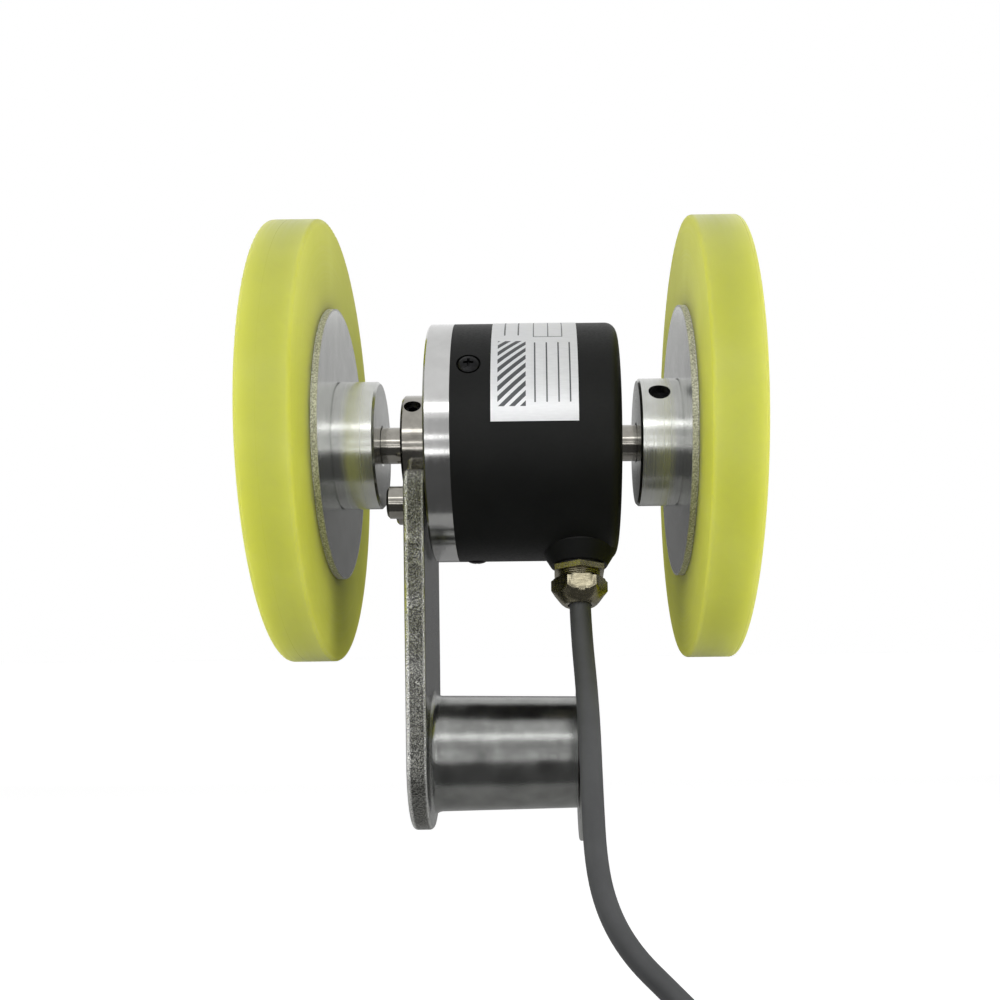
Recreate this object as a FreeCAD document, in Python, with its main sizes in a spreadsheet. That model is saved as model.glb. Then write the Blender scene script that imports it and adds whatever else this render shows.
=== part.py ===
import FreeCAD, Part
import Sketcher
import math
import os

# Measuring wheel encoder: two wheels on one shaft through a hollow-shaft encoder, on a sprung swing arm.
# Frame: origin at the centre of the base flange's mounting face, +X along the shaft and out of that
# face, +Y away from the viewer, +Z up from the arm's pivot to the wheel shaft. Millimetres.

SIZES = {
    # wheels
    "wheel_radius": 47.75,
    "tyre_width": 10.4,
    "tyre_edge_round": 0.8,
    "core_radius": 29.5,
    "rim_step": 1.3,
    "outer_recess": 0.5,
    "hub_radius": 14.0,
    "hub_length": 8.8,
    "hub_chamfer": 0.5,
    "hub_relief": 0.35,
    "hub_screw_radius": 2.3,
    "hub_screw_inset": 4.3,
    "hub_screw_length": 7.0,
    "right_screw_angle": 48.0,
    "left_screw_angle": 300.0,
    "left_hub_gap": 6.3,
    "right_hub_gap": 4.6,
    # wheel shaft
    "shaft_height": 68.5,
    "shaft_radius": 4.0,
    "shaft_inset": 0.5,
    "shaft_chamfer": 0.5,
    # swing arm casting
    "plate_thickness": 4.4,
    "arm_radius": 16.7,
    "plate_edge_round": 0.9,
    "prong_drop": 6.9,
    "prong_round": 4.4,
    "notch_radius": 11.5,
    "boss_length": 31.6,
    "boss_radius": 12.3,
    "boss_draft": 0.5,
    "boss_root_round": 2.0,
    "chamber_radius": 9.75,
    "chamber_end_wall": 8.0,
    "retainer_recess_radius": 9.5,
    "retainer_recess_depth": 2.5,
    # screws that hold the encoder on the arm
    "arm_screw_circle": 15.5,
    "arm_screw_angle": 30.0,
    "arm_screw_radius": 2.0,
    "arm_screw_length": 8.0,
    "arm_screw_head_radius": 3.5,
    "arm_screw_head_height": 4.2,
    "arm_screw_socket_flats": 3.0,
    "arm_screw_socket_depth": 2.0,
    # base and pivot
    "base_radius": 19.5,
    "base_thickness": 3.2,
    "base_edge_round": 0.5,
    "base_hole_inset": 3.5,
    "base_hole_radius": 1.7,
    "boss_gap": 0.3,
    "pin_radius": 5.0,
    "pin_cover": 1.2,
    "bush_wall": 1.5,
    "retainer_play": 0.2,
    "retainer_radius": 8.0,
    "retainer_thickness": 1.0,
    "retainer_screw_radius": 2.5,
    "retainer_screw_length": 12.0,
    "retainer_head_radius": 4.6,
    "retainer_head_height": 1.1,
    # torsion spring
    "spring_wire_radius": 0.8,
    "spring_radius": 7.4,
    "spring_pitch": 1.95,
    "spring_turns": 10.0,
    "spring_leg": 3.0,
    "spring_end_gap": 1.0,
    # encoder housing
    "housing_radius": 26.0,
    "pilot_radius": 18.0,
    "pilot_height": 0.8,
    "flange_thickness": 5.4,
    "flange_chamfer": 0.4,
    "spigot_length": 7.8,
    "spigot_wall": 6.4,
    "cover_length": 34.8,
    "cover_wall": 2.0,
    "cover_end_wall": 3.0,
    "cover_edge_round": 2.5,
    "seal_groove_inset": 0.8,
    "seal_groove_width": 1.6,
    "seal_groove_depth": 1.2,
    # radial screws of the cover
    "cover_screw_inset": 3.8,
    "cover_screw_angle": 60.0,
    "cover_screw_count": 3.0,
    "cover_screw_radius": 1.25,
    "cover_screw_length": 6.0,
    "cover_screw_head_radius": 2.2,
    "cover_screw_head_height": 1.4,
    "cover_spot_depth": 0.9,
    # hollow shaft and bearings
    "collar_radius": 10.9,
    "collar_length": 5.3,
    "collar_screw_inset": 2.5,
    "collar_screw_radius": 1.8,
    "collar_screw_length": 5.8,
    "collar_screw_angle": 48.0,
    "seal_seat_radius": 10.0,
    "seal_lip_radius": 7.0,
    "seal_width": 3.0,
    "front_lip": 3.4,
    "bearing_bore_radius": 6.0,
    "bearing_outer_radius": 10.5,
    "bearing_width": 5.0,
    "bearing_inset": 7.9,
    "bearing_spread": 10.0,
    "race_wall": 1.5,
    "ball_circle": 8.25,
    "ball_radius": 1.15,
    "ball_count": 9.0,
    "bearing_housing_wall": 3.0,
    "retaining_ring_width": 1.0,
    "rear_lip": 0.8,
    "rear_seal_radius": 9.0,
    "shaft_end_inset": 0.5,
    # code disc, sensor and board
    "disc_radius": 16.0,
    "disc_thickness": 1.0,
    "disc_hub_radius": 11.0,
    "disc_hub_step": 8.5,
    "disc_hub_flange": 2.2,
    "disc_hub_length": 4.0,
    "disc_hub_gap": 0.5,
    "disc_slot_inner": 12.4,
    "disc_slot_outer": 15.0,
    "disc_slot_width": 0.8,
    "disc_slot_count": 36.0,
    "board_edge_gap": 1.0,
    "board_bore_radius": 8.0,
    "board_thickness": 1.6,
    "board_inset": 7.1,
    "pillar_edge_inset": 2.8,
    "pillar_radius": 2.0,
    "pillar_bore_radius": 1.25,
    "board_screw_length": 5.0,
    "board_screw_head_radius": 2.2,
    "board_screw_head_height": 1.6,
    "fork_width": 6.0,
    "fork_inner": 11.8,
    "fork_outer": 19.4,
    "fork_slot_gap": 0.6,
    "fork_wall": 1.4,
    # cable gland
    "gland_inset": 8.6,
    "gland_angle": 165.0,
    "pad_height": 2.6,
    "pad_face_radius": 6.1,
    "pad_root_radius": 8.3,
    "pad_root_depth": 1.0,
    "gland_thread_radius": 4.0,
    "gland_washer_thickness": 0.4,
    "gland_washer_radius": 5.2,
    "gland_hex_flats": 10.6,
    "gland_hex_height": 1.2,
    "gland_neck_radius": 4.3,
    "gland_neck_length": 4.0,
    "gland_nut_lift": 1.2,
    "gland_nut_hex": 4.0,
    "gland_dome": 2.0,
    "gland_dome_radius": 4.7,
    "gland_dome_round": 1.6,
    "gland_seal_length": 1.6,
    # cable
    "cable_radius": 2.3,
    "coil_radius": 26.4,
    "coil_floor": 75.5,
    "coil_x": 53.0,
    "coil_y": -8.6,
    "tie_width": 4.0,
    "tie_thickness": 1.2,
    "end_length": 14.0,
    "lead_radius": 0.55,
    "lead_length": 20.0,
    # clearances
    "seat_gap": 0.02,
    "running_gap": 0.05,
    "thread_gap": 0.05,
    "hole_gap": 0.25,
    "clear_gap": 0.3,
}

# The visible cable, from inside the gland to the coil: points chosen along the photographed run.
CABLE_POINTS = [
    (-2.7, -8.0, 38.6),
    (-2.7, -10.6, 28.9),
    (-1.5, -20.6, 11.5),
    (-1.2, -25.8, -6.0),
    (-0.7, -29.1, -19.5),
    (1.6, -31.6, -28.4),
    (6.2, -33.0, -36.0),
    (13.2, -34.0, -42.8),
    (29.0, -34.6, -58.8),
    (40.0, -35.0, -66.0),
    (53.0, -35.0, -68.6),
]


class Size:
    """A dimension with its number and the formula that ties it to the sheet."""

    def __init__(self, number, formula):
        self.number = number
        self.formula = formula

    def __float__(self):
        return float(self.number)

    def __add__(self, other):
        return combine(self, "+", other, float(self) + float(other))

    def __radd__(self, other):
        return combine(other, "+", self, float(other) + float(self))

    def __sub__(self, other):
        return combine(self, "-", other, float(self) - float(other))

    def __rsub__(self, other):
        return combine(other, "-", self, float(other) - float(self))

    def __mul__(self, other):
        return combine(self, "*", other, float(self) * float(other))

    __rmul__ = __mul__

    def __truediv__(self, other):
        return combine(self, "/", other, float(self) / float(other))

    def __neg__(self):
        return Size(-self.number, "(0 - %s)" % self.formula)


def formula_of(value):
    return value.formula if isinstance(value, Size) else "(%.9f)" % value


def combine(left, sign, right, number):
    return Size(number, "(%s %s %s)" % (formula_of(left), sign, formula_of(right)))


class Dimensions:
    """The sheet's dimensions by name."""


doc = FreeCAD.newDocument("MeasuringWheelEncoder")
sheet = doc.addObject("Spreadsheet::Sheet", "sizes")
d = Dimensions()
for row, (name, number) in enumerate(SIZES.items(), start=1):
    sheet.set("A%d" % row, name)
    sheet.set("B%d" % row, str(number))
    sheet.setAlias("B%d" % row, name)
    setattr(d, name, Size(number, "sizes." + name))
doc.recompute()

nodes = []

# Places along the shaft, from the mounting face at zero towards the left.
boss_end = -d.base_thickness - d.boss_gap
plate_right = boss_end - d.boss_length
plate_left = plate_right - d.plate_thickness
flange_face = plate_right + d.pilot_height
seam = flange_face + d.flange_thickness
cover_end = seam + d.cover_length
collar_right = plate_right - d.clear_gap
collar_left = collar_right - d.collar_length
left_hub_end = plate_left - d.left_hub_gap
right_hub_end = cover_end + d.right_hub_gap
core_width = d.rim_step + d.tyre_width - d.outer_recess
front_bearing = plate_right + d.bearing_inset
rear_bearing = front_bearing + d.bearing_spread
bearing_end = rear_bearing + d.bearing_width
housing_end = bearing_end + d.retaining_ring_width + d.clear_gap
disc_hub_left = housing_end + d.disc_hub_gap
disc_left = disc_hub_left + d.disc_hub_flange
board_right = cover_end - d.board_inset
board_left = board_right - d.board_thickness
gland_x = cover_end - d.gland_inset
pad_face = d.housing_radius + d.pad_height
board_radius = d.housing_radius - d.cover_wall - d.board_edge_gap
pillar_circle = board_radius - d.pillar_edge_inset
spring_left = plate_left + d.chamber_end_wall + d.spring_wire_radius + d.clear_gap
spring_right = spring_left + d.spring_pitch * d.spring_turns
right_bush_left = spring_right + d.spring_wire_radius + d.spring_end_gap
bush_radius = d.pin_radius + d.running_gap + d.bush_wall
arm_screw_y = d.arm_screw_circle * math.sin(math.radians(SIZES["arm_screw_angle"]))
arm_screw_z = d.arm_screw_circle * math.cos(math.radians(SIZES["arm_screw_angle"]))


# Helpers for sketches and features

def bind(item, path, value):
    """Tie a property to the sheet, or set a plain number."""
    item.setExpression(path, formula_of(value))


def place(item, x=0.0, y=0.0, z=0.0, rotation=None):
    item.Placement = FreeCAD.Placement(
        FreeCAD.Vector(float(x), float(y), float(z)), rotation or FreeCAD.Rotation()
    )
    for axis, value in (("x", x), ("y", y), ("z", z)):
        if isinstance(value, Size):
            bind(item, ".Placement.Base." + axis, value)


def radial_rotation(angle):
    """Turn the local X axis to point out from the shaft, at an angle from straight up to the front."""
    lean = FreeCAD.Rotation(FreeCAD.Vector(1, 0, 0), float(angle))
    return lean.multiply(FreeCAD.Rotation(FreeCAD.Vector(0, 1, 0), -90))


def around(radius, angle):
    """Offsets in Y and Z of a point on a circle about the shaft, by its angle from straight up."""
    turn = math.radians(float(angle))
    return radius * -math.sin(turn), radius * math.cos(turn)


def new_body(label):
    body = doc.addObject("PartDesign::Body", label)
    body.Label = label
    return body


def origin_part(body, role):
    return next(item for item in body.Origin.OriginFeatures if item.Role == role)


def sketch_on(body, name, role="XY_Plane", offset=None, angle=None):
    """A sketch on an origin plane, moved along its normal or turned about the shaft direction."""
    sketch = body.newObject("Sketcher::SketchObject", name)
    sketch.AttachmentSupport = [(origin_part(body, role), "")]
    sketch.MapMode = "FlatFace"
    if angle is not None:
        turn = FreeCAD.Rotation(FreeCAD.Vector(1, 0, 0), float(angle))
        sketch.AttachmentOffset = FreeCAD.Placement(FreeCAD.Vector(), turn)
        if isinstance(angle, Size):
            bind(sketch, ".AttachmentOffset.Rotation.Angle", angle)
    if offset is not None:
        across, up = around(offset, angle or 0.0)
        sketch.AttachmentOffset = FreeCAD.Placement(
            FreeCAD.Vector(0, float(across), float(up)), sketch.AttachmentOffset.Rotation
        )
        bind(sketch, ".AttachmentOffset.Base.y", across)
        bind(sketch, ".AttachmentOffset.Base.z", up)
    return sketch


def pin_point(sketch, line, end, across, up):
    """Hold a sketch point at its two coordinates."""
    for kind, value, axis in (("DistanceX", across, -2), ("DistanceY", up, -1)):
        if abs(float(value)) < 1e-9:
            sketch.addConstraint(Sketcher.Constraint("PointOnObject", line, end, axis))
            continue
        index = sketch.addConstraint(Sketcher.Constraint(kind, line, end, float(value)))
        bind(sketch, "Constraints[%d]" % index, value)


def polygon(sketch, points):
    count = len(points)
    corners = [FreeCAD.Vector(float(across), float(up), 0) for across, up in points]
    start = len(sketch.Geometry)
    for index in range(count):
        sketch.addGeometry(Part.LineSegment(corners[index], corners[(index + 1) % count]), False)
    for index in range(count):
        following = start + (index + 1) % count
        sketch.addConstraint(Sketcher.Constraint("Coincident", start + index, 2, following, 1))
    for index, (across, up) in enumerate(points):
        pin_point(sketch, start + index, 1, across, up)


def circle(sketch, across, up, radius):
    middle = FreeCAD.Vector(float(across), float(up), 0)
    line = sketch.addGeometry(Part.Circle(middle, FreeCAD.Vector(0, 0, 1), float(radius)), False)
    index = sketch.addConstraint(Sketcher.Constraint("Radius", line, float(radius)))
    bind(sketch, "Constraints[%d]" % index, radius)
    pin_point(sketch, line, 3, across, up)


def hexagon(sketch, flats):
    corner = flats / math.sqrt(3)
    turns = [math.radians(60 * step) for step in range(6)]
    polygon(sketch, [(corner * math.cos(turn), corner * math.sin(turn)) for turn in turns])


def feature(body, kind, name, sketch, length=None, reverse=False, both=False):
    """A pad or pocket of a sketch."""
    item = body.newObject("PartDesign::" + kind, name)
    item.Profile = sketch
    item.Reversed = reverse
    if both:
        item.SideType = "Symmetric"
    if length is None:
        item.Type = "ThroughAll"
    else:
        bind(item, "Length", length)
    sketch.Visibility = False
    return item


def cut_pocket(body, name, sketch, length=None, reverse=False, both=False):
    """A pocket that has to take material away."""
    doc.recompute()
    before = body.Shape.Volume
    item = feature(body, "Pocket", name, sketch, length, reverse, both)
    doc.recompute()
    if not body.Shape.Volume < before - 1e-6:
        raise RuntimeError(name + " cuts nothing")
    return item


def spin(body, kind, name, outline):
    """A revolution or groove of an outline of (along, out) points about the local X axis."""
    sketch = sketch_on(body, name + "_outline")
    if isinstance(outline, tuple):
        circle(sketch, *outline)
    else:
        polygon(sketch, outline)
    item = body.newObject("PartDesign::" + kind, name)
    item.Profile = sketch
    item.ReferenceAxis = (sketch, ["H_Axis"])
    item.Angle = 360
    sketch.Visibility = False
    doc.recompute()
    return item


def polar_pattern(body, name, source, count):
    item = body.newObject("PartDesign::PolarPattern", name)
    item.Originals = [source]
    item.Axis = (origin_part(body, "X_Axis"), [""])
    item.Angle = 360
    item.Occurrences = int(round(float(count)))
    body.Tip = item
    doc.recompute()
    return item


def circle_edges(body, rings):
    """Names of the round edges at given places along the axis and radii."""
    names = []
    for number, edge in enumerate(body.Tip.Shape.Edges, start=1):
        if not isinstance(edge.Curve, Part.Circle):
            continue
        for along, radius in rings:
            same_place = abs(edge.Curve.Center.x - float(along)) < 1e-4
            if same_place and abs(edge.Curve.Radius - float(radius)) < 1e-4:
                names.append("Edge%d" % number)
    return names


def dress(body, kind, name, edges, size):
    """A fillet or chamfer on named edges of the body's last feature."""
    if not edges:
        raise RuntimeError(name + " finds no edge")
    item = body.newObject("PartDesign::" + kind, name)
    item.Base = (item.BaseFeature or body.Tip, edges)
    bind(item, "Radius" if kind == "Fillet" else "Size", size)
    doc.recompute()
    return item


def turned(label, outline, x=0.0, y=0.0, z=0.0, rotation=None):
    """A lathe-turned body from an outline of (along, out) points."""
    body = new_body(label)
    spin(body, "Revolution", label + "_turned", outline)
    place(body, x, y, z, rotation)
    return body


def ring(inner, outer, width):
    return [(0, inner), (0, outer), (width, outer), (width, inner)]


def node(item):
    nodes.append(item)
    return item


def group(label, pieces):
    """Identical loose pieces kept as one node."""
    item = doc.addObject("Part::Compound", label)
    item.Label = label
    item.Links = pieces
    return node(item)


# Wheels

def make_wheel(side, hub_end, outward, screw_angle):
    """One wheel: turned core with its hub, cast tyre and set screw; outward is the way from the hub."""
    rotation = None if outward > 0 else FreeCAD.Rotation(FreeCAD.Vector(0, 0, 1), 180)
    bore = d.shaft_radius + d.seat_gap
    width = d.hub_length + core_width
    neck = d.hub_radius - d.hub_relief
    core = turned(side + "_wheel_core", [
        (0, bore), (0, d.hub_radius), (d.hub_length - d.hub_relief, d.hub_radius),
        (d.hub_length - d.hub_relief, neck), (d.hub_length, neck),
        (d.hub_length, d.core_radius), (width, d.core_radius), (width, bore),
    ], hub_end, 0, d.shaft_height, rotation)
    ends = circle_edges(core, [(0, d.hub_radius), (0, bore), (width, bore), (width, d.core_radius)])
    dress(core, "Chamfer", side + "_core_chamfer", ends, d.hub_chamfer)
    angle = screw_angle if outward > 0 else -screw_angle
    drilling = sketch_on(core, side + "_screw_hole", angle=angle)
    circle(drilling, d.hub_screw_inset, 0, d.hub_screw_radius + d.thread_gap)
    cut_pocket(core, side + "_screw_drilling", drilling, reverse=True)
    node(core)

    tyre_start = d.hub_length + d.rim_step
    inner = d.core_radius + d.seat_gap
    tyre = turned(side + "_wheel_tyre", [
        (tyre_start, inner), (tyre_start, d.wheel_radius),
        (tyre_start + d.tyre_width, d.wheel_radius), (tyre_start + d.tyre_width, inner),
    ], hub_end, 0, d.shaft_height, rotation)
    shoulders = [(tyre_start, d.wheel_radius), (tyre_start + d.tyre_width, d.wheel_radius)]
    dress(tyre, "Fillet", side + "_tyre_round", circle_edges(tyre, shoulders), d.tyre_edge_round)
    node(tyre)

    tip = d.shaft_radius + d.seat_gap
    screw_x = hub_end + d.hub_screw_inset * outward
    screw = turned(side + "_wheel_screw", [
        (tip, 0), (tip, d.hub_screw_radius), (tip + d.hub_screw_length, d.hub_screw_radius),
        (tip + d.hub_screw_length, 0),
    ], screw_x, 0, d.shaft_height, radial_rotation(screw_angle))
    socket = sketch_on(screw, side + "_screw_socket", "YZ_Plane", tip + d.hub_screw_length)
    hexagon(socket, d.hub_screw_radius)
    cut_pocket(screw, side + "_screw_key", socket, d.hub_screw_radius)
    node(screw)


def make_wheel_shaft():
    left_end = left_hub_end - d.hub_length - core_width + d.shaft_inset
    right_end = right_hub_end + d.hub_length + core_width - d.shaft_inset
    length = right_end - left_end
    shaft = turned("wheel_shaft", [
        (0, 0), (0, d.shaft_radius), (length, d.shaft_radius), (length, 0),
    ], left_end, 0, d.shaft_height)
    ends = circle_edges(shaft, [(0, d.shaft_radius), (length, d.shaft_radius)])
    dress(shaft, "Chamfer", "shaft_chamfer_cut", ends, d.shaft_chamfer)
    node(shaft)


# Swing arm and pivot

def make_swing_arm():
    """Plate with a forked top and a hollow, drafted pivot boss, one casting; local X from its left face."""
    body = new_body("swing_arm")
    top = d.shaft_height - d.prong_drop
    plate = sketch_on(body, "plate_outline", "YZ_Plane")
    radius = float(d.arm_radius)
    height = float(top)
    foot = Part.Circle(FreeCAD.Vector(), FreeCAD.Vector(0, 0, 1), radius)
    plate.addGeometry(Part.ArcOfCircle(foot, math.pi, 2 * math.pi), False)
    corners = [(radius, 0), (radius, height), (-radius, height), (-radius, 0)]
    for start, end in zip(corners, corners[1:]):
        plate.addGeometry(Part.LineSegment(FreeCAD.Vector(*start, 0), FreeCAD.Vector(*end, 0)), False)
    pin_point(plate, 0, 3, 0, 0)
    width = plate.addConstraint(Sketcher.Constraint("Radius", 0, radius))
    bind(plate, "Constraints[%d]" % width, d.arm_radius)
    plate.addConstraint(Sketcher.Constraint("Tangent", 0, 2, 1, 1))
    plate.addConstraint(Sketcher.Constraint("Coincident", 1, 2, 2, 1))
    plate.addConstraint(Sketcher.Constraint("Coincident", 2, 2, 3, 1))
    plate.addConstraint(Sketcher.Constraint("Tangent", 3, 2, 0, 1))
    plate.addConstraint(Sketcher.Constraint("Vertical", 1))
    plate.addConstraint(Sketcher.Constraint("Vertical", 3))
    plate.addConstraint(Sketcher.Constraint("Horizontal", 2))
    rise = plate.addConstraint(Sketcher.Constraint("DistanceY", 1, 2, height))
    bind(plate, "Constraints[%d]" % rise, top)
    feature(body, "Pad", "plate", plate, d.plate_thickness)
    doc.recompute()

    def shoulder_edges():
        for number, edge in enumerate(body.Tip.Shape.Edges, start=1):
            ends = [vertex.Point for vertex in edge.Vertexes]
            across = max(ends, key=lambda point: point.x).x - min(ends, key=lambda point: point.x).x
            if across > float(d.plate_thickness) / 2 and min(point.z for point in ends) > height - 0.01:
                yield "Edge%d" % number

    dress(body, "Fillet", "prong_corners", list(shoulder_edges()), d.prong_round)
    rims = [
        "Edge%d" % number for number, edge in enumerate(body.Tip.Shape.Edges, start=1)
        if edge.BoundBox.XLength < 1e-6
    ]
    dress(body, "Fillet", "plate_edges", rims, d.plate_edge_round)

    boss_tip = d.plate_thickness + d.boss_length
    root = d.boss_radius + d.boss_draft
    middle = d.plate_thickness / 2
    spin(body, "Revolution", "boss", [
        (middle, 0), (middle, root), (d.plate_thickness, root), (boss_tip, d.boss_radius), (boss_tip, 0),
    ])
    corner = circle_edges(body, [(d.plate_thickness, root)])
    dress(body, "Fillet", "boss_root", corner, d.boss_root_round)

    spin(body, "Groove", "boss_hollow", [
        (0, 0), (0, d.retainer_recess_radius),
        (d.retainer_recess_depth, d.retainer_recess_radius),
        (d.retainer_recess_depth, bush_radius + d.seat_gap),
        (d.chamber_end_wall, bush_radius + d.seat_gap),
        (d.chamber_end_wall, d.chamber_radius), (boss_tip, d.chamber_radius), (boss_tip, 0),
    ])

    notch = sketch_on(body, "fork_notch", "YZ_Plane")
    circle(notch, 0, d.shaft_height, d.notch_radius)
    cut_pocket(body, "fork_cut", notch, both=True)

    holes = sketch_on(body, "encoder_screw_holes", "YZ_Plane")
    for side in (-1, 1):
        circle(holes, arm_screw_y * side, d.shaft_height - arm_screw_z, d.arm_screw_radius + d.hole_gap)
    cut_pocket(body, "encoder_screw_drilling", holes, both=True)

    anchor = sketch_on(body, "spring_anchor_hole", "YZ_Plane", d.chamber_end_wall)
    circle(anchor, 0, d.spring_radius, d.spring_wire_radius + d.running_gap)
    cut_pocket(body, "spring_anchor", anchor, d.spring_leg + d.clear_gap)
    place(body, plate_left)
    node(body)


def make_pivot_bushes():
    inner = d.pin_radius + d.running_gap
    left_length = d.chamber_end_wall - d.retainer_recess_depth
    left = turned("pivot_bush_left", ring(inner, bush_radius, left_length),
                  plate_left + d.retainer_recess_depth)
    node(left)
    right_length = boss_end - right_bush_left
    right = turned("pivot_bush_right", ring(inner, d.chamber_radius - d.seat_gap, right_length),
                   right_bush_left)
    node(right)


def make_base_flange():
    seat = d.pin_radius + d.seat_gap
    seat_floor = d.base_thickness - d.pin_cover
    flange = turned("base_flange", [
        (0, seat), (0, d.base_radius), (d.base_thickness, d.base_radius), (d.base_thickness, 0),
        (seat_floor, 0), (seat_floor, seat),
    ], -d.base_thickness)
    rims = circle_edges(flange, [(0, d.base_radius), (d.base_thickness, d.base_radius)])
    dress(flange, "Fillet", "base_rim", rims, d.base_edge_round)
    holes = sketch_on(flange, "base_holes", "YZ_Plane")
    reach = (d.base_radius - d.base_hole_inset) / math.sqrt(2)
    for across in (-1, 1):
        for up in (-1, 1):
            circle(holes, reach * across, reach * up, d.base_hole_radius)
    cut_pocket(flange, "base_drilling", holes, both=True)
    node(flange)


def make_pivot_pin():
    left_end = plate_left + d.retainer_recess_depth - d.retainer_play
    length = -d.pin_cover - left_end
    bore = d.retainer_screw_radius + d.thread_gap
    deep = d.retainer_screw_length + d.clear_gap
    pin = turned("pivot_pin", [
        (0, bore), (0, d.pin_radius), (length, d.pin_radius), (length, 0), (deep, 0), (deep, bore),
    ], left_end)
    tang = sketch_on(pin, "spring_tang_hole", angle=d.spring_turns * 360.0)
    circle(tang, spring_right - left_end, 0, d.spring_wire_radius + d.running_gap)
    cut_pocket(pin, "spring_tang", tang, reverse=True)
    node(pin)

    washer_left = left_end - d.retainer_thickness
    washer = turned("pivot_washer",
                    ring(d.retainer_screw_radius + d.hole_gap, d.retainer_radius, d.retainer_thickness),
                    washer_left)
    node(washer)
    head_left = washer_left - d.retainer_head_height
    total = d.retainer_head_height + d.retainer_thickness + d.retainer_screw_length
    screw = turned("pivot_screw", [
        (0, 0), (0, d.retainer_head_radius), (d.retainer_head_height, d.retainer_head_radius),
        (d.retainer_head_height, d.retainer_screw_radius), (total, d.retainer_screw_radius), (total, 0),
    ], head_left)
    slot = sketch_on(screw, "pivot_screw_key", "YZ_Plane")
    hexagon(slot, d.retainer_head_radius * 0.7)
    cut_pocket(screw, "pivot_screw_socket", slot, d.retainer_head_height * 0.7, reverse=True)
    node(screw)


def make_torsion_spring():
    """Coiled wire with a leg along the axis into the casting and one across into the pin."""
    radius = float(d.spring_radius)
    wire = float(d.spring_wire_radius)
    turns = float(d.spring_turns)
    length = float(d.spring_pitch) * turns
    helix = Part.makeHelix(float(d.spring_pitch), length, radius)
    section = Part.Wire(Part.Circle(
        FreeCAD.Vector(radius, 0, 0), FreeCAD.Vector(0, 1, 0), wire).toShape())
    coil = Part.Wire(helix.Edges).makePipeShell([section], True, False)
    reach = float(d.spring_leg)
    leg = 0.98 * wire
    first = FreeCAD.Vector(radius, 0, 0)
    along = Part.makeCylinder(leg, reach + wire + float(d.clear_gap), first, FreeCAD.Vector(0, 0, -1))
    knuckle = Part.makeSphere(leg, first)
    last = FreeCAD.Rotation(FreeCAD.Vector(0, 0, 1), 360 * turns).multVec(first)
    inward = -last
    last.z = length
    across = Part.makeCylinder(leg, radius - float(d.pin_radius) + reach, last, inward)
    elbow = Part.makeSphere(leg, last)
    spring = doc.addObject("Part::Feature", "torsion_spring")
    spring.Label = "torsion_spring"
    spring.Shape = coil.fuse([along, across, knuckle, elbow])
    if spring.Shape.Volume < coil.Volume:
        raise RuntimeError("the spring lost its coil")
    spring.Placement = FreeCAD.Placement(
        FreeCAD.Vector(float(spring_left), 0, 0),
        FreeCAD.Rotation(FreeCAD.Vector(0, 0, 1), FreeCAD.Vector(0, 1, 0), FreeCAD.Vector(1, 0, 0), "ZXY"),
    )
    node(spring)


def make_arm_screws():
    """Socket cap screws through the plate into the encoder's flange."""
    head = d.arm_screw_head_height
    pieces = []
    for side in (-1, 1):
        label = "arm_screw_front" if side < 0 else "arm_screw_rear"
        screw = turned(label, [
            (0, 0), (0, d.arm_screw_head_radius), (head, d.arm_screw_head_radius),
            (head, d.arm_screw_radius), (head + d.arm_screw_length, d.arm_screw_radius),
            (head + d.arm_screw_length, 0),
        ], plate_left - head, arm_screw_y * side, d.shaft_height - arm_screw_z)
        rim = circle_edges(screw, [(0, d.arm_screw_head_radius)])
        dress(screw, "Chamfer", label + "_rim", rim, d.hub_chamfer)
        socket = sketch_on(screw, label + "_socket", "YZ_Plane")
        hexagon(socket, d.arm_screw_socket_flats)
        cut_pocket(screw, label + "_key", socket, d.arm_screw_socket_depth, reverse=True)
        pieces.append(screw)
    group("arm_screws", pieces)


# Encoder housing

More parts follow.
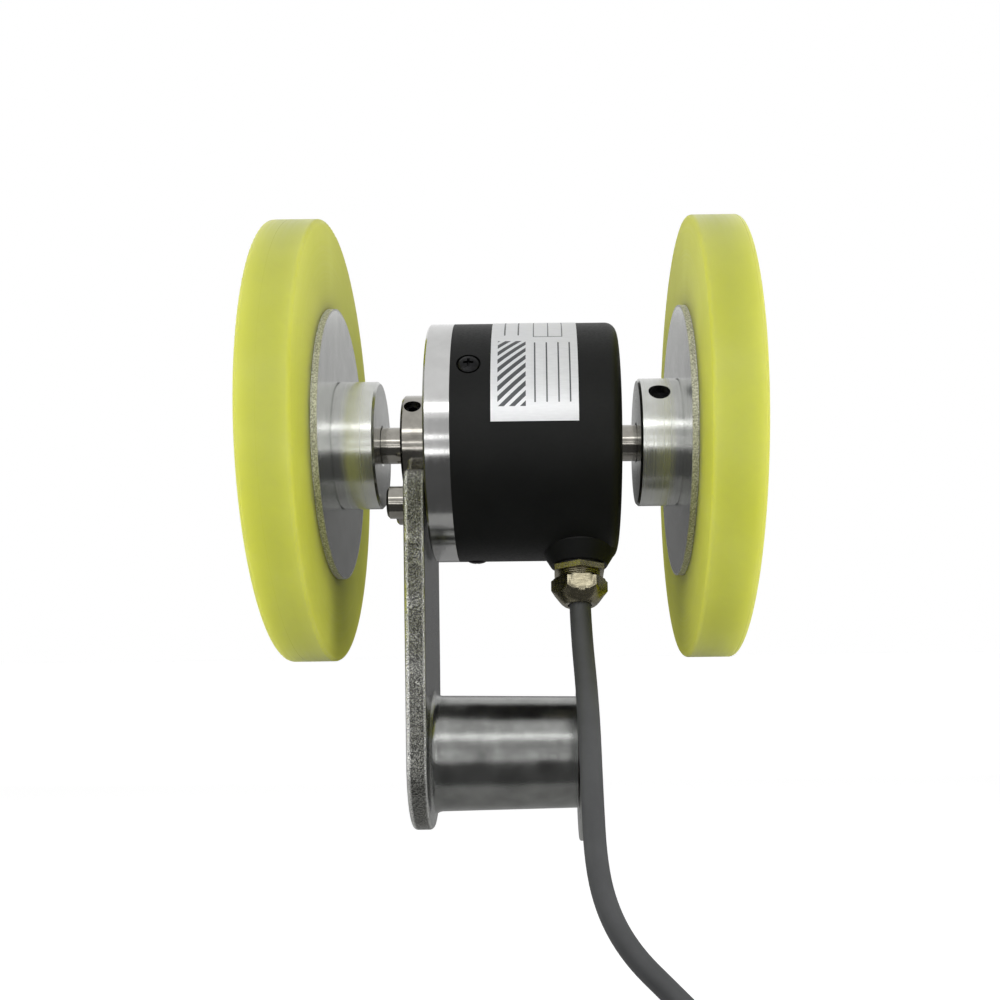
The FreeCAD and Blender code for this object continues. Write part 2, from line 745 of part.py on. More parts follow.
def make_front_flange():
    """Flange with a pilot for the arm, a spigot for the cover and the bearing housing."""
    spigot_outer = d.housing_radius - d.cover_wall - d.running_gap
    spigot_inner = spigot_outer - d.spigot_wall
    flange_left = d.pilot_height
    flange_right = flange_left + d.flange_thickness
    groove_left = flange_right + d.seal_groove_inset
    groove_right = groove_left + d.seal_groove_width
    groove_floor = spigot_outer - d.seal_groove_depth
    spigot_end = flange_right + d.spigot_length
    seat = d.bearing_outer_radius + d.seat_gap
    housing = d.bearing_outer_radius + d.bearing_housing_wall
    inner_end = housing_end - plate_right
    flange = turned("front_flange", [
        (0, d.seal_lip_radius + d.clear_gap), (0, d.pilot_radius), (flange_left, d.pilot_radius),
        (flange_left, d.housing_radius), (flange_right, d.housing_radius), (flange_right, spigot_outer),
        (groove_left, spigot_outer), (groove_left, groove_floor), (groove_right, groove_floor),
        (groove_right, spigot_outer), (spigot_end, spigot_outer), (spigot_end, spigot_inner),
        (flange_right, spigot_inner), (flange_right, housing), (inner_end, housing), (inner_end, seat),
        (d.bearing_inset, seat), (d.bearing_inset, d.seal_seat_radius + d.seat_gap),
        (d.front_lip, d.seal_seat_radius + d.seat_gap), (d.front_lip, d.seal_lip_radius + d.clear_gap),
    ], plate_right, 0, d.shaft_height)
    rims = circle_edges(flange, [(flange_left, d.housing_radius), (0, d.pilot_radius)])
    dress(flange, "Chamfer", "flange_rims", rims, d.flange_chamfer)
    holes = sketch_on(flange, "arm_screw_threads", "YZ_Plane")
    for side in (-1, 1):
        circle(holes, arm_screw_y * side, -arm_screw_z, d.arm_screw_radius + d.thread_gap)
    deep = d.arm_screw_length - d.plate_thickness + d.clear_gap
    cut_pocket(flange, "arm_screw_tapping", holes, deep, reverse=True)
    drilling = sketch_on(flange, "cover_screw_thread", angle=d.cover_screw_angle)
    circle(drilling, flange_right + d.cover_screw_inset, 0, d.cover_screw_radius + d.thread_gap)
    tapping = cut_pocket(flange, "cover_screw_tapping", drilling, d.housing_radius, reverse=True)
    polar_pattern(flange, "cover_screw_tappings", tapping, d.cover_screw_count)
    node(flange)


def make_rear_cover():
    """Deep cup over the spigot, with a conical pad for the gland; local X from its open end."""
    body = new_body("rear_cover")
    length = d.cover_length
    inner = d.housing_radius - d.cover_wall
    spin(body, "Revolution", "cover_blank", [
        (0, 0), (0, d.housing_radius), (length, d.housing_radius), (length, 0),
    ])
    rim = circle_edges(body, [(length, d.housing_radius)])
    dress(body, "Fillet", "cover_rim", rim, d.cover_edge_round)
    pad_middle = length - d.gland_inset
    pad = sketch_on(body, "gland_pad_outline", "XZ_Plane", angle=d.gland_angle)
    polygon(pad, [
        (pad_middle, inner), (pad_middle + d.pad_root_radius, inner),
        (pad_middle + d.pad_root_radius, d.housing_radius - d.pad_root_depth),
        (pad_middle + d.pad_face_radius, pad_face), (pad_middle, pad_face),
    ])
    boss = body.newObject("PartDesign::Revolution", "gland_pad")
    boss.Profile = pad
    boss.ReferenceAxis = (pad, ["Edge5"])
    boss.Angle = 360
    pad.Visibility = False
    doc.recompute()
    wall_left = length - d.cover_end_wall
    seal_seat = d.rear_seal_radius + d.seat_gap
    spin(body, "Groove", "cover_hollow", [
        (0, 0), (0, inner), (wall_left, inner), (wall_left, seal_seat),
        (length - d.rear_lip, seal_seat), (length - d.rear_lip, d.bearing_bore_radius + d.clear_gap),
        (length, d.bearing_bore_radius + d.clear_gap), (length, 0),
    ])
    bore = sketch_on(body, "gland_bore", angle=d.gland_angle)
    circle(bore, pad_middle, 0, d.gland_thread_radius + d.thread_gap)
    cut_pocket(body, "gland_drilling", bore, reverse=True)
    spot = sketch_on(body, "cover_screw_spot", angle=d.cover_screw_angle)
    circle(spot, d.cover_screw_inset, 0, d.cover_screw_radius + d.hole_gap)
    hole = cut_pocket(body, "cover_screw_hole", spot, reverse=True)
    polar_pattern(body, "cover_screw_holes", hole, d.cover_screw_count)
    seat_height = d.housing_radius - d.cover_spot_depth
    recess = sketch_on(body, "screw_recess", offset=seat_height, angle=d.cover_screw_angle)
    circle(recess, d.cover_screw_inset, 0, d.cover_screw_head_radius + d.clear_gap)
    recess_cut = cut_pocket(body, "screw_seat", recess, d.cover_wall, reverse=True)
    polar_pattern(body, "screw_seats", recess_cut, d.cover_screw_count)
    place(body, seam, 0, d.shaft_height)
    node(body)


def make_cover_screws():
    pieces = []
    seat = d.housing_radius - d.cover_spot_depth
    top = seat + d.cover_screw_head_height
    bottom = seat - d.cover_screw_length
    for step in range(int(SIZES["cover_screw_count"])):
        label = "cover_screw_%d" % (step + 1)
        angle = SIZES["cover_screw_angle"] + 360.0 * step / SIZES["cover_screw_count"]
        screw = turned(label, [
            (bottom, 0), (bottom, d.cover_screw_radius), (seat, d.cover_screw_radius),
            (seat, d.cover_screw_head_radius), (top, d.cover_screw_head_radius), (top, 0),
        ], seam + d.cover_screw_inset, 0, d.shaft_height, radial_rotation(angle))
        rim = circle_edges(screw, [(top, d.cover_screw_head_radius)])
        dress(screw, "Fillet", label + "_crown", rim, d.cover_screw_head_height * 0.6)
        pieces.append(screw)
    group("cover_screws", pieces)


def make_seals():
    groove_floor = d.housing_radius - d.cover_wall - d.running_gap - d.seal_groove_depth
    section = d.seal_groove_depth / 2 - d.seat_gap
    seal = doc.addObject("Part::Torus", "cover_seal")
    seal.Label = "cover_seal"
    bind(seal, "Radius1", groove_floor + section + d.seat_gap)
    bind(seal, "Radius2", section)
    place(seal, seam + d.seal_groove_inset + d.seal_groove_width / 2, 0, d.shaft_height,
          FreeCAD.Rotation(FreeCAD.Vector(0, 1, 0), 90))
    node(seal)
    node(turned("front_seal", ring(d.seal_lip_radius + d.running_gap, d.seal_seat_radius, d.seal_width),
                plate_right + d.front_lip, 0, d.shaft_height))
    rear_width = d.cover_end_wall - d.rear_lip
    node(turned("rear_seal",
                ring(d.bearing_bore_radius + d.running_gap, d.rear_seal_radius, rear_width),
                cover_end - d.cover_end_wall, 0, d.shaft_height))


# Hollow shaft and bearings

def make_hollow_shaft():
    bore = d.shaft_radius + d.seat_gap
    step = collar_right - collar_left
    shoulder = front_bearing - collar_left
    length = cover_end - d.shaft_end_inset - collar_left
    shaft = turned("hollow_shaft", [
        (0, bore), (0, d.collar_radius), (step, d.collar_radius), (step, d.seal_lip_radius),
        (shoulder, d.seal_lip_radius), (shoulder, d.bearing_bore_radius),
        (length, d.bearing_bore_radius), (length, bore),
    ], collar_left, 0, d.shaft_height)
    rim = circle_edges(shaft, [(0, d.collar_radius)])
    dress(shaft, "Chamfer", "collar_rim", rim, d.hub_chamfer)
    drilling = sketch_on(shaft, "collar_screw_hole", angle=d.collar_screw_angle)
    circle(drilling, d.collar_screw_inset, 0, d.collar_screw_radius + d.thread_gap)
    cut_pocket(shaft, "collar_drilling", drilling, reverse=True)
    node(shaft)
    tip = d.shaft_radius + d.seat_gap
    screw = turned("collar_screw", [
        (tip, 0), (tip, d.collar_screw_radius), (tip + d.collar_screw_length, d.collar_screw_radius),
        (tip + d.collar_screw_length, 0),
    ], collar_left + d.collar_screw_inset, 0, d.shaft_height, radial_rotation(d.collar_screw_angle))
    socket = sketch_on(screw, "collar_screw_socket", "YZ_Plane", tip + d.collar_screw_length)
    hexagon(socket, d.collar_screw_radius)
    cut_pocket(screw, "collar_screw_key", socket, d.collar_screw_radius)
    node(screw)


def make_bearing(name, left):
    """One ball bearing: grooved inner and outer rings and a set of balls."""
    middle = d.bearing_width / 2
    race = (middle, d.ball_circle, d.ball_radius + d.running_gap)
    inner_top = d.bearing_bore_radius + d.race_wall
    outer_bottom = d.bearing_outer_radius - d.race_wall
    for part, low, high in (
        ("inner_ring", d.bearing_bore_radius + d.seat_gap, inner_top),
        ("outer_ring", outer_bottom, d.bearing_outer_radius),
    ):
        label = "%s_bearing_%s" % (name, part)
        body = turned(label, ring(low, high, d.bearing_width), left, 0, d.shaft_height)
        spin(body, "Groove", label + "_race", race)
        node(body)
    balls = []
    count = int(SIZES["ball_count"])
    for step in range(count):
        ball = doc.addObject("Part::Sphere", "%s_ball_%d" % (name, step + 1))
        bind(ball, "Radius", d.ball_radius)
        y, z = around(d.ball_circle, 360.0 * step / count)
        place(ball, left + middle, y, d.shaft_height + z)
        balls.append(ball)
    group(name + "_bearing_balls", balls)


def make_bearing_keepers():
    gap = rear_bearing - front_bearing - d.bearing_width
    low = d.bearing_outer_radius - d.race_wall + d.clear_gap
    node(turned("bearing_spacer", ring(low, d.bearing_outer_radius, gap),
                front_bearing + d.bearing_width, 0, d.shaft_height))
    node(turned("bearing_retaining_ring", ring(low, d.bearing_outer_radius, d.retaining_ring_width),
                bearing_end, 0, d.shaft_height))


# Code disc, sensor and board

def make_code_disc():
    bore = d.bearing_bore_radius + d.seat_gap
    node(turned("code_disc_hub", [
        (0, bore), (0, d.disc_hub_radius), (d.disc_hub_flange, d.disc_hub_radius),
        (d.disc_hub_flange, d.disc_hub_step), (d.disc_hub_length, d.disc_hub_step),
        (d.disc_hub_length, bore),
    ], disc_hub_left, 0, d.shaft_height))
    disc = turned("code_disc", ring(d.disc_hub_step + d.seat_gap, d.disc_radius, d.disc_thickness),
                  disc_left, 0, d.shaft_height)
    slot = sketch_on(disc, "disc_slot", "YZ_Plane")
    half = d.disc_slot_width / 2
    polygon(slot, [
        (-half, d.disc_slot_inner), (half, d.disc_slot_inner),
        (half, d.disc_slot_outer), (-half, d.disc_slot_outer),
    ])
    window = cut_pocket(disc, "disc_window", slot, both=True)
    polar_pattern(disc, "disc_windows", window, d.disc_slot_count)
    node(disc)


def make_board():
    board = turned("circuit_board", ring(d.board_bore_radius, board_radius, d.board_thickness),
                   board_left, 0, d.shaft_height)
    holes = sketch_on(board, "board_holes", "YZ_Plane")
    angles = [60.0, 180.0, 300.0]
    for angle in angles:
        y, z = around(pillar_circle, angle)
        circle(holes, y, z, d.pillar_bore_radius + d.hole_gap)
    cut_pocket(board, "board_drilling", holes, both=True)
    node(board)

    pillar_left = seam + d.spigot_length
    pillars = []
    screws = []
    for number, angle in enumerate(angles, start=1):
        y, z = around(pillar_circle, angle)
        pillar = turned("board_pillar_%d" % number,
                        ring(d.pillar_bore_radius + d.thread_gap, d.pillar_radius, board_left - pillar_left),
                        pillar_left, y, d.shaft_height + z)
        pillars.append(pillar)
        head = d.board_screw_head_height
        screw = turned("board_screw_%d" % number, [
            (0, 0), (0, d.pillar_bore_radius), (d.board_screw_length, d.pillar_bore_radius),
            (d.board_screw_length, d.board_screw_head_radius),
            (d.board_screw_length + head, d.board_screw_head_radius), (d.board_screw_length + head, 0),
        ], board_right - d.board_screw_length, y, d.shaft_height + z)
        screws.append(screw)
    group("board_pillars", pillars)
    group("board_screws", screws)

    body = new_body("fork_sensor")
    outline = sketch_on(body, "fork_outline", "XZ_Plane")
    slot_left = disc_left - d.fork_slot_gap
    slot_right = disc_left + d.disc_thickness + d.fork_slot_gap
    slot_top = d.disc_radius + d.clear_gap * 2
    left = slot_left - d.fork_wall
    polygon(outline, [
        (left - board_left, d.fork_inner), (slot_left - board_left, d.fork_inner),
        (slot_left - board_left, slot_top), (slot_right - board_left, slot_top),
        (slot_right - board_left, d.fork_inner), (0, d.fork_inner),
        (0, d.fork_outer), (left - board_left, d.fork_outer),
    ])
    feature(body, "Pad", "fork_block", outline, d.fork_width, both=True)
    place(body, board_left, 0, d.shaft_height)
    node(body)


# Cable gland

def make_gland():
    rotation = radial_rotation(SIZES["gland_angle"])
    spot = (gland_x, 0, d.shaft_height, rotation)
    bore = d.cable_radius + d.clear_gap
    thread_end = d.housing_radius - d.cover_wall + d.clear_gap
    hex_bottom = pad_face + d.gland_washer_thickness
    hex_top = hex_bottom + d.gland_hex_height
    neck_top = hex_top + d.gland_neck_length
    node(turned("gland_washer", [
        (pad_face, d.gland_thread_radius + d.thread_gap), (pad_face, d.gland_washer_radius),
        (hex_bottom, d.gland_washer_radius), (hex_bottom, d.gland_thread_radius + d.thread_gap),
    ], *spot))

    body = turned("gland_body", [
        (thread_end, bore), (thread_end, d.gland_thread_radius),
        (hex_bottom, d.gland_thread_radius), (hex_bottom, d.gland_neck_radius),
        (neck_top, d.gland_neck_radius), (neck_top, bore),
    ], *spot)
    flange = sketch_on(body, "gland_hex_outline", "YZ_Plane", hex_bottom)
    hexagon(flange, d.gland_hex_flats)
    circle(flange, 0, 0, (bore + d.gland_neck_radius) / 2)
    feature(body, "Pad", "gland_hex", flange, d.gland_hex_height)
    node(body)

    nut_bottom = hex_top + d.gland_nut_lift
    nut_top = nut_bottom + d.gland_nut_hex
    dome_top = nut_top + d.gland_dome
    cavity = d.gland_neck_radius + d.thread_gap
    seal_bottom = neck_top + d.clear_gap
    seal_top = seal_bottom + d.gland_seal_length
    nut = new_body("gland_nut")
    hex_sketch = sketch_on(nut, "nut_hex_outline", "YZ_Plane", nut_bottom)
    hexagon(hex_sketch, d.gland_hex_flats)
    feature(nut, "Pad", "nut_hex", hex_sketch, d.gland_nut_hex)
    spin(nut, "Revolution", "nut_dome", [
        (nut_bottom, 0), (nut_bottom, d.gland_dome_radius), (dome_top, d.gland_dome_radius), (dome_top, 0),
    ])
    crown = circle_edges(nut, [(dome_top, d.gland_dome_radius)])
    dress(nut, "Fillet", "nut_crown", crown, d.gland_dome_round)
    spin(nut, "Groove", "nut_hollow", [
        (nut_bottom, 0), (nut_bottom, cavity), (seal_top, cavity), (seal_top, bore), (dome_top, bore),
        (dome_top, 0),
    ])
    place(nut, *spot)
    node(nut)

    node(turned("gland_seal", [
        (seal_bottom, d.cable_radius + d.running_gap), (seal_bottom, cavity - d.seat_gap),
        (seal_top, cavity - d.seat_gap), (seal_top, d.cable_radius + d.running_gap),
    ], *spot))


# Cable

def rounded_route(points):
    """Straight runs joined by tangent arcs, each arc as large as its shorter run allows."""
    corners = [FreeCAD.Vector(*point) for point in points]
    edges = []
    start = corners[0]
    for before, corner, after in zip(corners, corners[1:], corners[2:]):
        back = (before - corner).normalize()
        ahead = (after - corner).normalize()
        turn = math.pi - back.getAngle(ahead)
        trim = 0.45 * min((corner - before).Length, (after - corner).Length)
        radius = trim / math.tan(turn / 2)
        print("cable bend radius %.1f mm, turn %.1f degrees" % (radius, math.degrees(turn)))
        first = corner + back * trim
        last = corner + ahead * trim
        inside = (back + ahead).normalize()
        middle = corner + inside * (radius / math.cos(turn / 2) - radius)
        edges.append(Part.LineSegment(start, first).toShape())
        edges.append(Part.Arc(first, middle, last).toShape())
        start = last
    edges.append(Part.LineSegment(start, corners[-1]).toShape())
    return Part.Wire(edges)


def make_cable():
    """The run from the gland to the coil, the put-away coil, its tie, and the stripped end."""
    radius = float(d.cable_radius)
    route = rounded_route(CABLE_POINTS)
    heading = FreeCAD.Vector(*CABLE_POINTS[1]) - FreeCAD.Vector(*CABLE_POINTS[0])
    section = Part.Wire(Part.Circle(FreeCAD.Vector(*CABLE_POINTS[0]), heading, radius).toShape())
    tube = doc.addObject("Part::Feature", "cable_tube")
    tube.Label = "cable_tube"
    tube.Shape = route.makePipeShell([section], True, False)
    expected = math.pi * radius ** 2 * route.Length
    print("cable run %.1f mm, volume %.1f of %.1f mm3" % (route.Length, tube.Shape.Volume, expected))
    node(tube)

    across = d.cable_radius * 2
    inner = d.coil_radius - across * 1.5
    outer = d.coil_radius + across * 1.5
    upright = FreeCAD.Rotation(FreeCAD.Vector(0, 1, 0), -90)
    node(turned("cable_coil", [
        (0, inner), (0, outer), (across, outer), (across, outer - across),
        (across * 2, outer - across), (across * 2, inner),
    ], d.coil_x, d.coil_y, -d.coil_floor, upright))

    tie = new_body("cable_tie")
    band = sketch_on(tie, "tie_outline", "XZ_Plane")
    gap = d.clear_gap
    wall = d.clear_gap + d.tie_thickness
    top = across * 2
    polygon(band, [
        (inner - wall, 0), (inner - wall, top + wall), (outer - across + wall, top + wall),
        (outer - across + wall, across + wall), (outer + wall, across + wall), (outer + wall, 0),
        (outer + gap, 0), (outer + gap, across + gap), (outer - across + gap, across + gap),
        (outer - across + gap, top + gap), (inner - gap, top + gap), (inner - gap, 0),
    ])
    feature(tie, "Pad", "tie_band", band, d.tie_width, both=True)
    place(tie, d.coil_x, d.coil_y, -d.coil_floor)
    node(tie)

    end_y = d.coil_y - outer - d.cable_radius
    end_z = d.cable_radius - d.coil_floor
    node(turned("cable_end", [
        (0, 0), (0, d.cable_radius), (d.end_length, d.cable_radius), (d.end_length, 0),
    ], d.coil_x, end_y, end_z))
    leads = []
    for number in range(5):
        y, z = around(d.cable_radius * 0.6, 72.0 * number)
        leads.append(turned("lead_%d" % (number + 1), [
            (0, 0), (0, d.lead_radius), (d.lead_length, d.lead_radius), (d.lead_length, 0),
        ], d.coil_x + d.end_length, end_y + y, end_z + z))
    group("cable_leads", leads)


make_base_flange()
make_pivot_pin()
make_torsion_spring()
make_swing_arm()
make_pivot_bushes()
make_arm_screws()
make_front_flange()
make_rear_cover()
make_cover_screws()
make_seals()
make_hollow_shaft()
make_bearing("front", front_bearing)
make_bearing("rear", rear_bearing)
make_bearing_keepers()
make_code_disc()
make_board()
make_gland()
make_wheel_shaft()
make_wheel("left", left_hub_end, -1, d.left_screw_angle)
make_wheel("right", right_hub_end, 1, d.right_screw_angle)
make_cable()
doc.recompute()

# Check everything before anything is written.
for item in doc.Objects:
    if "Invalid" in item.State or "Error" in item.State:
        raise RuntimeError("%s failed: %s" % (item.Label, item.State))
for item in nodes:
    if item.Shape.isNull() or not item.Shape.isValid() or not item.Shape.Solids:
        raise RuntimeError(item.Label + " has no valid solid")

os.makedirs("parts", exist_ok=True)
for item in nodes:
    item.Shape.exportStep("parts/%s.step" % item.Label)
print("%d sub-parts written" % len(nodes))
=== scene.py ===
from math import cos, pi, radians, sin, tau

import bmesh
import bpy
from mathutils import Matrix, Vector


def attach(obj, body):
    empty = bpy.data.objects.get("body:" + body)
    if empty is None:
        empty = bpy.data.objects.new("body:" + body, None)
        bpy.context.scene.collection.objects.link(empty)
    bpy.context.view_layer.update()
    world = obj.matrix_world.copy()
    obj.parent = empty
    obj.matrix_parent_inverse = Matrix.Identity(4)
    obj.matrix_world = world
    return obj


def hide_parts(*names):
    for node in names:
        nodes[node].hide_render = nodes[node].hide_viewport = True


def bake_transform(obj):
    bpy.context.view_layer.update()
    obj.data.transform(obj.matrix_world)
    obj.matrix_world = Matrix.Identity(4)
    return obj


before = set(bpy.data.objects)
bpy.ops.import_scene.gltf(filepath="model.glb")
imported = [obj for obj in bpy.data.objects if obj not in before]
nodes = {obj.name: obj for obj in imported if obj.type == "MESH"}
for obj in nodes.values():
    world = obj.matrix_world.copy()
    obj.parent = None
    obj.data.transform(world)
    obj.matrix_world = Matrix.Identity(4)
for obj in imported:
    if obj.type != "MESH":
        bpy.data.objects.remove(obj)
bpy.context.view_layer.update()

mm = 0.001
shaftZ = 68.5 * mm  # height of the wheel shaft over the pivot


# camera, from the wheels' edges in the photo
camSet = {
    "place": (-10.3, -252.1, 29.3), "roll": -0.69,  # mm and degrees
    "focal": 1.1333, "axisCol": 0.5445, "axisRow": 0.6203,  # in picture widths, from the top left
}
camData = bpy.data.cameras.new("photoCamera")
camData.sensor_width = 36
camData.lens = camData.sensor_width * camSet["focal"]
camData.shift_x = 0.5 - camSet["axisCol"]
camData.shift_y = camSet["axisRow"] - 0.5
camData.clip_start = 0.01
camera = bpy.data.objects.new("photoCamera", camData)
bpy.context.collection.objects.link(camera)
camera.matrix_world = (
    Matrix.Translation(Vector(camSet["place"]) * mm)
    @ Matrix.Rotation(pi / 2, 4, "X")
    @ Matrix.Rotation(radians(camSet["roll"]), 4, "Z")
)
bpy.context.scene.camera = camera
print("camera placed")


# node helpers, for materials, the world and Geometry Nodes alike

def linear(hexCode):
    channels = [int(hexCode[i:i + 2], 16) / 255 for i in (1, 3, 5)]
    return tuple(c / 12.92 if c <= 0.04045 else ((c + 0.055) / 1.055) ** 2.4 for c in channels) + (1.0,)


def setInputs(tree, node, inputs):
    # a socket is linked, anything else is set as the input's value
    for name, value in inputs.items():
        if isinstance(value, bpy.types.NodeSocket):
            tree.links.new(value, node.inputs[name])
        else:
            node.inputs[name].default_value = value


def addNode(tree, kind, inputs=None, out=0, stops=(), **settings):
    # gives back one of the node's outputs; stops are a colour ramp's places and colours
    node = tree.nodes.new(kind)
    for key, value in settings.items():
        setattr(node, key, value)
    for number, (place, color) in enumerate(stops):
        elements = node.color_ramp.elements
        element = elements[number] if number < 2 else elements.new(place)
        element.position = place
        element.color = linear(color)
    setInputs(tree, node, inputs or {})
    return node.outputs[out] if node.outputs else node


def newMaterial(name, inputs):
    material = bpy.data.materials.new(name)
    material.use_nodes = True
    tree = material.node_tree
    shader = tree.nodes["Principled BSDF"]
    setInputs(tree, shader, inputs)
    return material, tree, shader


def latheLines(tree, axisZ):
    # place along an axis parallel to X and distance out from it, where a lathe leaves its rings
    place = addNode(tree, "ShaderNodeTexCoord", out="Object")
    parts = addNode(tree, "ShaderNodeSeparateXYZ", {0: place}).node.outputs
    across = addNode(tree, "ShaderNodeCombineXYZ", {"Y": parts["Y"], "Z": parts["Z"]})
    out = addNode(tree, "ShaderNodeVectorMath", {0: across, 1: (0, 0, axisZ)}, "Value", operation="DISTANCE")
    return addNode(tree, "ShaderNodeCombineXYZ", {"X": parts["X"], "Y": out}), out


# materials

def makePolyurethane():
    # cast polyurethane, poured round the core: milky lime yellow
    # the tread is ground and has a soft shine, the faced sides are matt; the tread is painted paler and the
    # sides a deeper yellow, for the light that passes through the tyre
    material, tree, shader = newMaterial("castPolyurethane", {
        "IOR": 1.5, "Specular IOR Level": 0.25,
        "Subsurface Weight": 1.0, "Subsurface Scale": 24 * mm, "Subsurface Radius": (1.0, 1.0, 0.35)})
    place = addNode(tree, "ShaderNodeTexCoord", out="Object")
    lathe = latheLines(tree, shaftZ)[0]
    cloud = addNode(tree, "ShaderNodeTexNoise", {"Vector": place, "Scale": 1 / (18 * mm), "Detail": 2.0})
    lines = addNode(tree, "ShaderNodeTexNoise", {"Vector": lathe, "Scale": 1 / (0.5 * mm), "Detail": 2.0})
    normal = addNode(tree, "ShaderNodeNewGeometry", out="True Normal")
    sideways = addNode(tree, "ShaderNodeMath", {
        0: addNode(tree, "ShaderNodeSeparateXYZ", {0: normal}, "X")}, operation="ABSOLUTE")
    tread = addNode(tree, "ShaderNodeValToRGB", {"Fac": cloud}, stops=[
        (0.3, "#bec25c"), (0.55, "#c2c662"), (0.75, "#c7cb6a")])
    # painted light: the sides' deeper, more saturated yellow stands in for light passing through the
    # translucent tyre
    paintedSideTranslucence = addNode(tree, "ShaderNodeValToRGB", {"Fac": cloud}, stops=[
        (0.3, "#c8cb4c"), (0.55, "#cccf52"), (0.75, "#d0d45c")])
    shine = addNode(tree, "ShaderNodeMapRange", {
        "Value": lines, "From Min": 0.3, "From Max": 0.7, "To Min": 0.27, "To Max": 0.36})
    setInputs(tree, shader, {
        "Base Color": addNode(tree, "ShaderNodeMix", {0: sideways, 6: tread, 7: paintedSideTranslucence}, 2, data_type="RGBA"),
        "Roughness": addNode(tree, "ShaderNodeMath", {
            0: sideways, 1: 0.25, 2: shine}, operation="MULTIPLY_ADD"),
        "Normal": addNode(tree, "ShaderNodeBump", {"Height": lines, "Strength": 0.1, "Distance": 0.02 * mm}),
    })
    return material


def makeTurnedAluminium(name, axisZ, dark, light, rough, rimAt=1.0):
    # bar aluminium, turned dry: fine rings from the tool, bright between them
    # past rimAt the tool has torn the edge, which is rough and sparkles
    material, tree, shader = newMaterial(name, {"Metallic": 1.0})
    place = addNode(tree, "ShaderNodeTexCoord", out="Object")
    lathe, out = latheLines(tree, axisZ)
    # real rings are finer, too fine to show
    rings = addNode(tree, "ShaderNodeTexNoise", {"Vector": lathe, "Scale": 1 / (0.3 * mm), "Detail": 2.0})
    patches = addNode(tree, "ShaderNodeTexNoise", {"Vector": place, "Scale": 1 / (5 * mm), "Detail": 3.0})
    grit = addNode(tree, "ShaderNodeTexNoise", {"Vector": place, "Scale": 1 / (0.35 * mm), "Detail": 3.0})
    onRim = addNode(tree, "ShaderNodeMapRange", {
        "Value": out, "From Min": rimAt, "From Max": rimAt + 0.2 * mm})
    clean = addNode(tree, "ShaderNodeValToRGB", {"Fac": patches}, stops=[(0.3, dark), (0.7, light)])
    torn = addNode(tree, "ShaderNodeValToRGB", {"Fac": grit}, stops=[(0.36, "#a3a29d"), (0.66, "#e6e5e1")])
    smooth = addNode(tree, "ShaderNodeMapRange", {
        "Value": rings, "From Min": 0.3, "From Max": 0.7, "To Min": rough * 0.85, "To Max": rough * 1.2})
    ringHeight = addNode(tree, "ShaderNodeMath", {0: rings, 1: 0.08}, operation="MULTIPLY")
    height = addNode(tree, "ShaderNodeMath", {0: grit, 1: onRim, 2: ringHeight}, operation="MULTIPLY_ADD")
    setInputs(tree, shader, {
        "Base Color": addNode(tree, "ShaderNodeMix", {0: onRim, 6: clean, 7: torn}, 2, data_type="RGBA"),
        "Roughness": addNode(tree, "ShaderNodeMath", {
            0: onRim, 1: 0.35, 2: smooth}, operation="MULTIPLY_ADD"),
        "Normal": addNode(tree, "ShaderNodeBump", {"Height": height, "Strength": 0.5, "Distance": 0.1 * mm}),
    })
    return material


# the arm along X, in mm: plate's end, boss's start, and the plate's painted corner highlights from its
# middle
castSet = {"plateRight": -35.0, "bossLeft": -34.4, "plateMiddle": -37.1, "highlightFrom": 1.3, "highlightTo": 1.7}


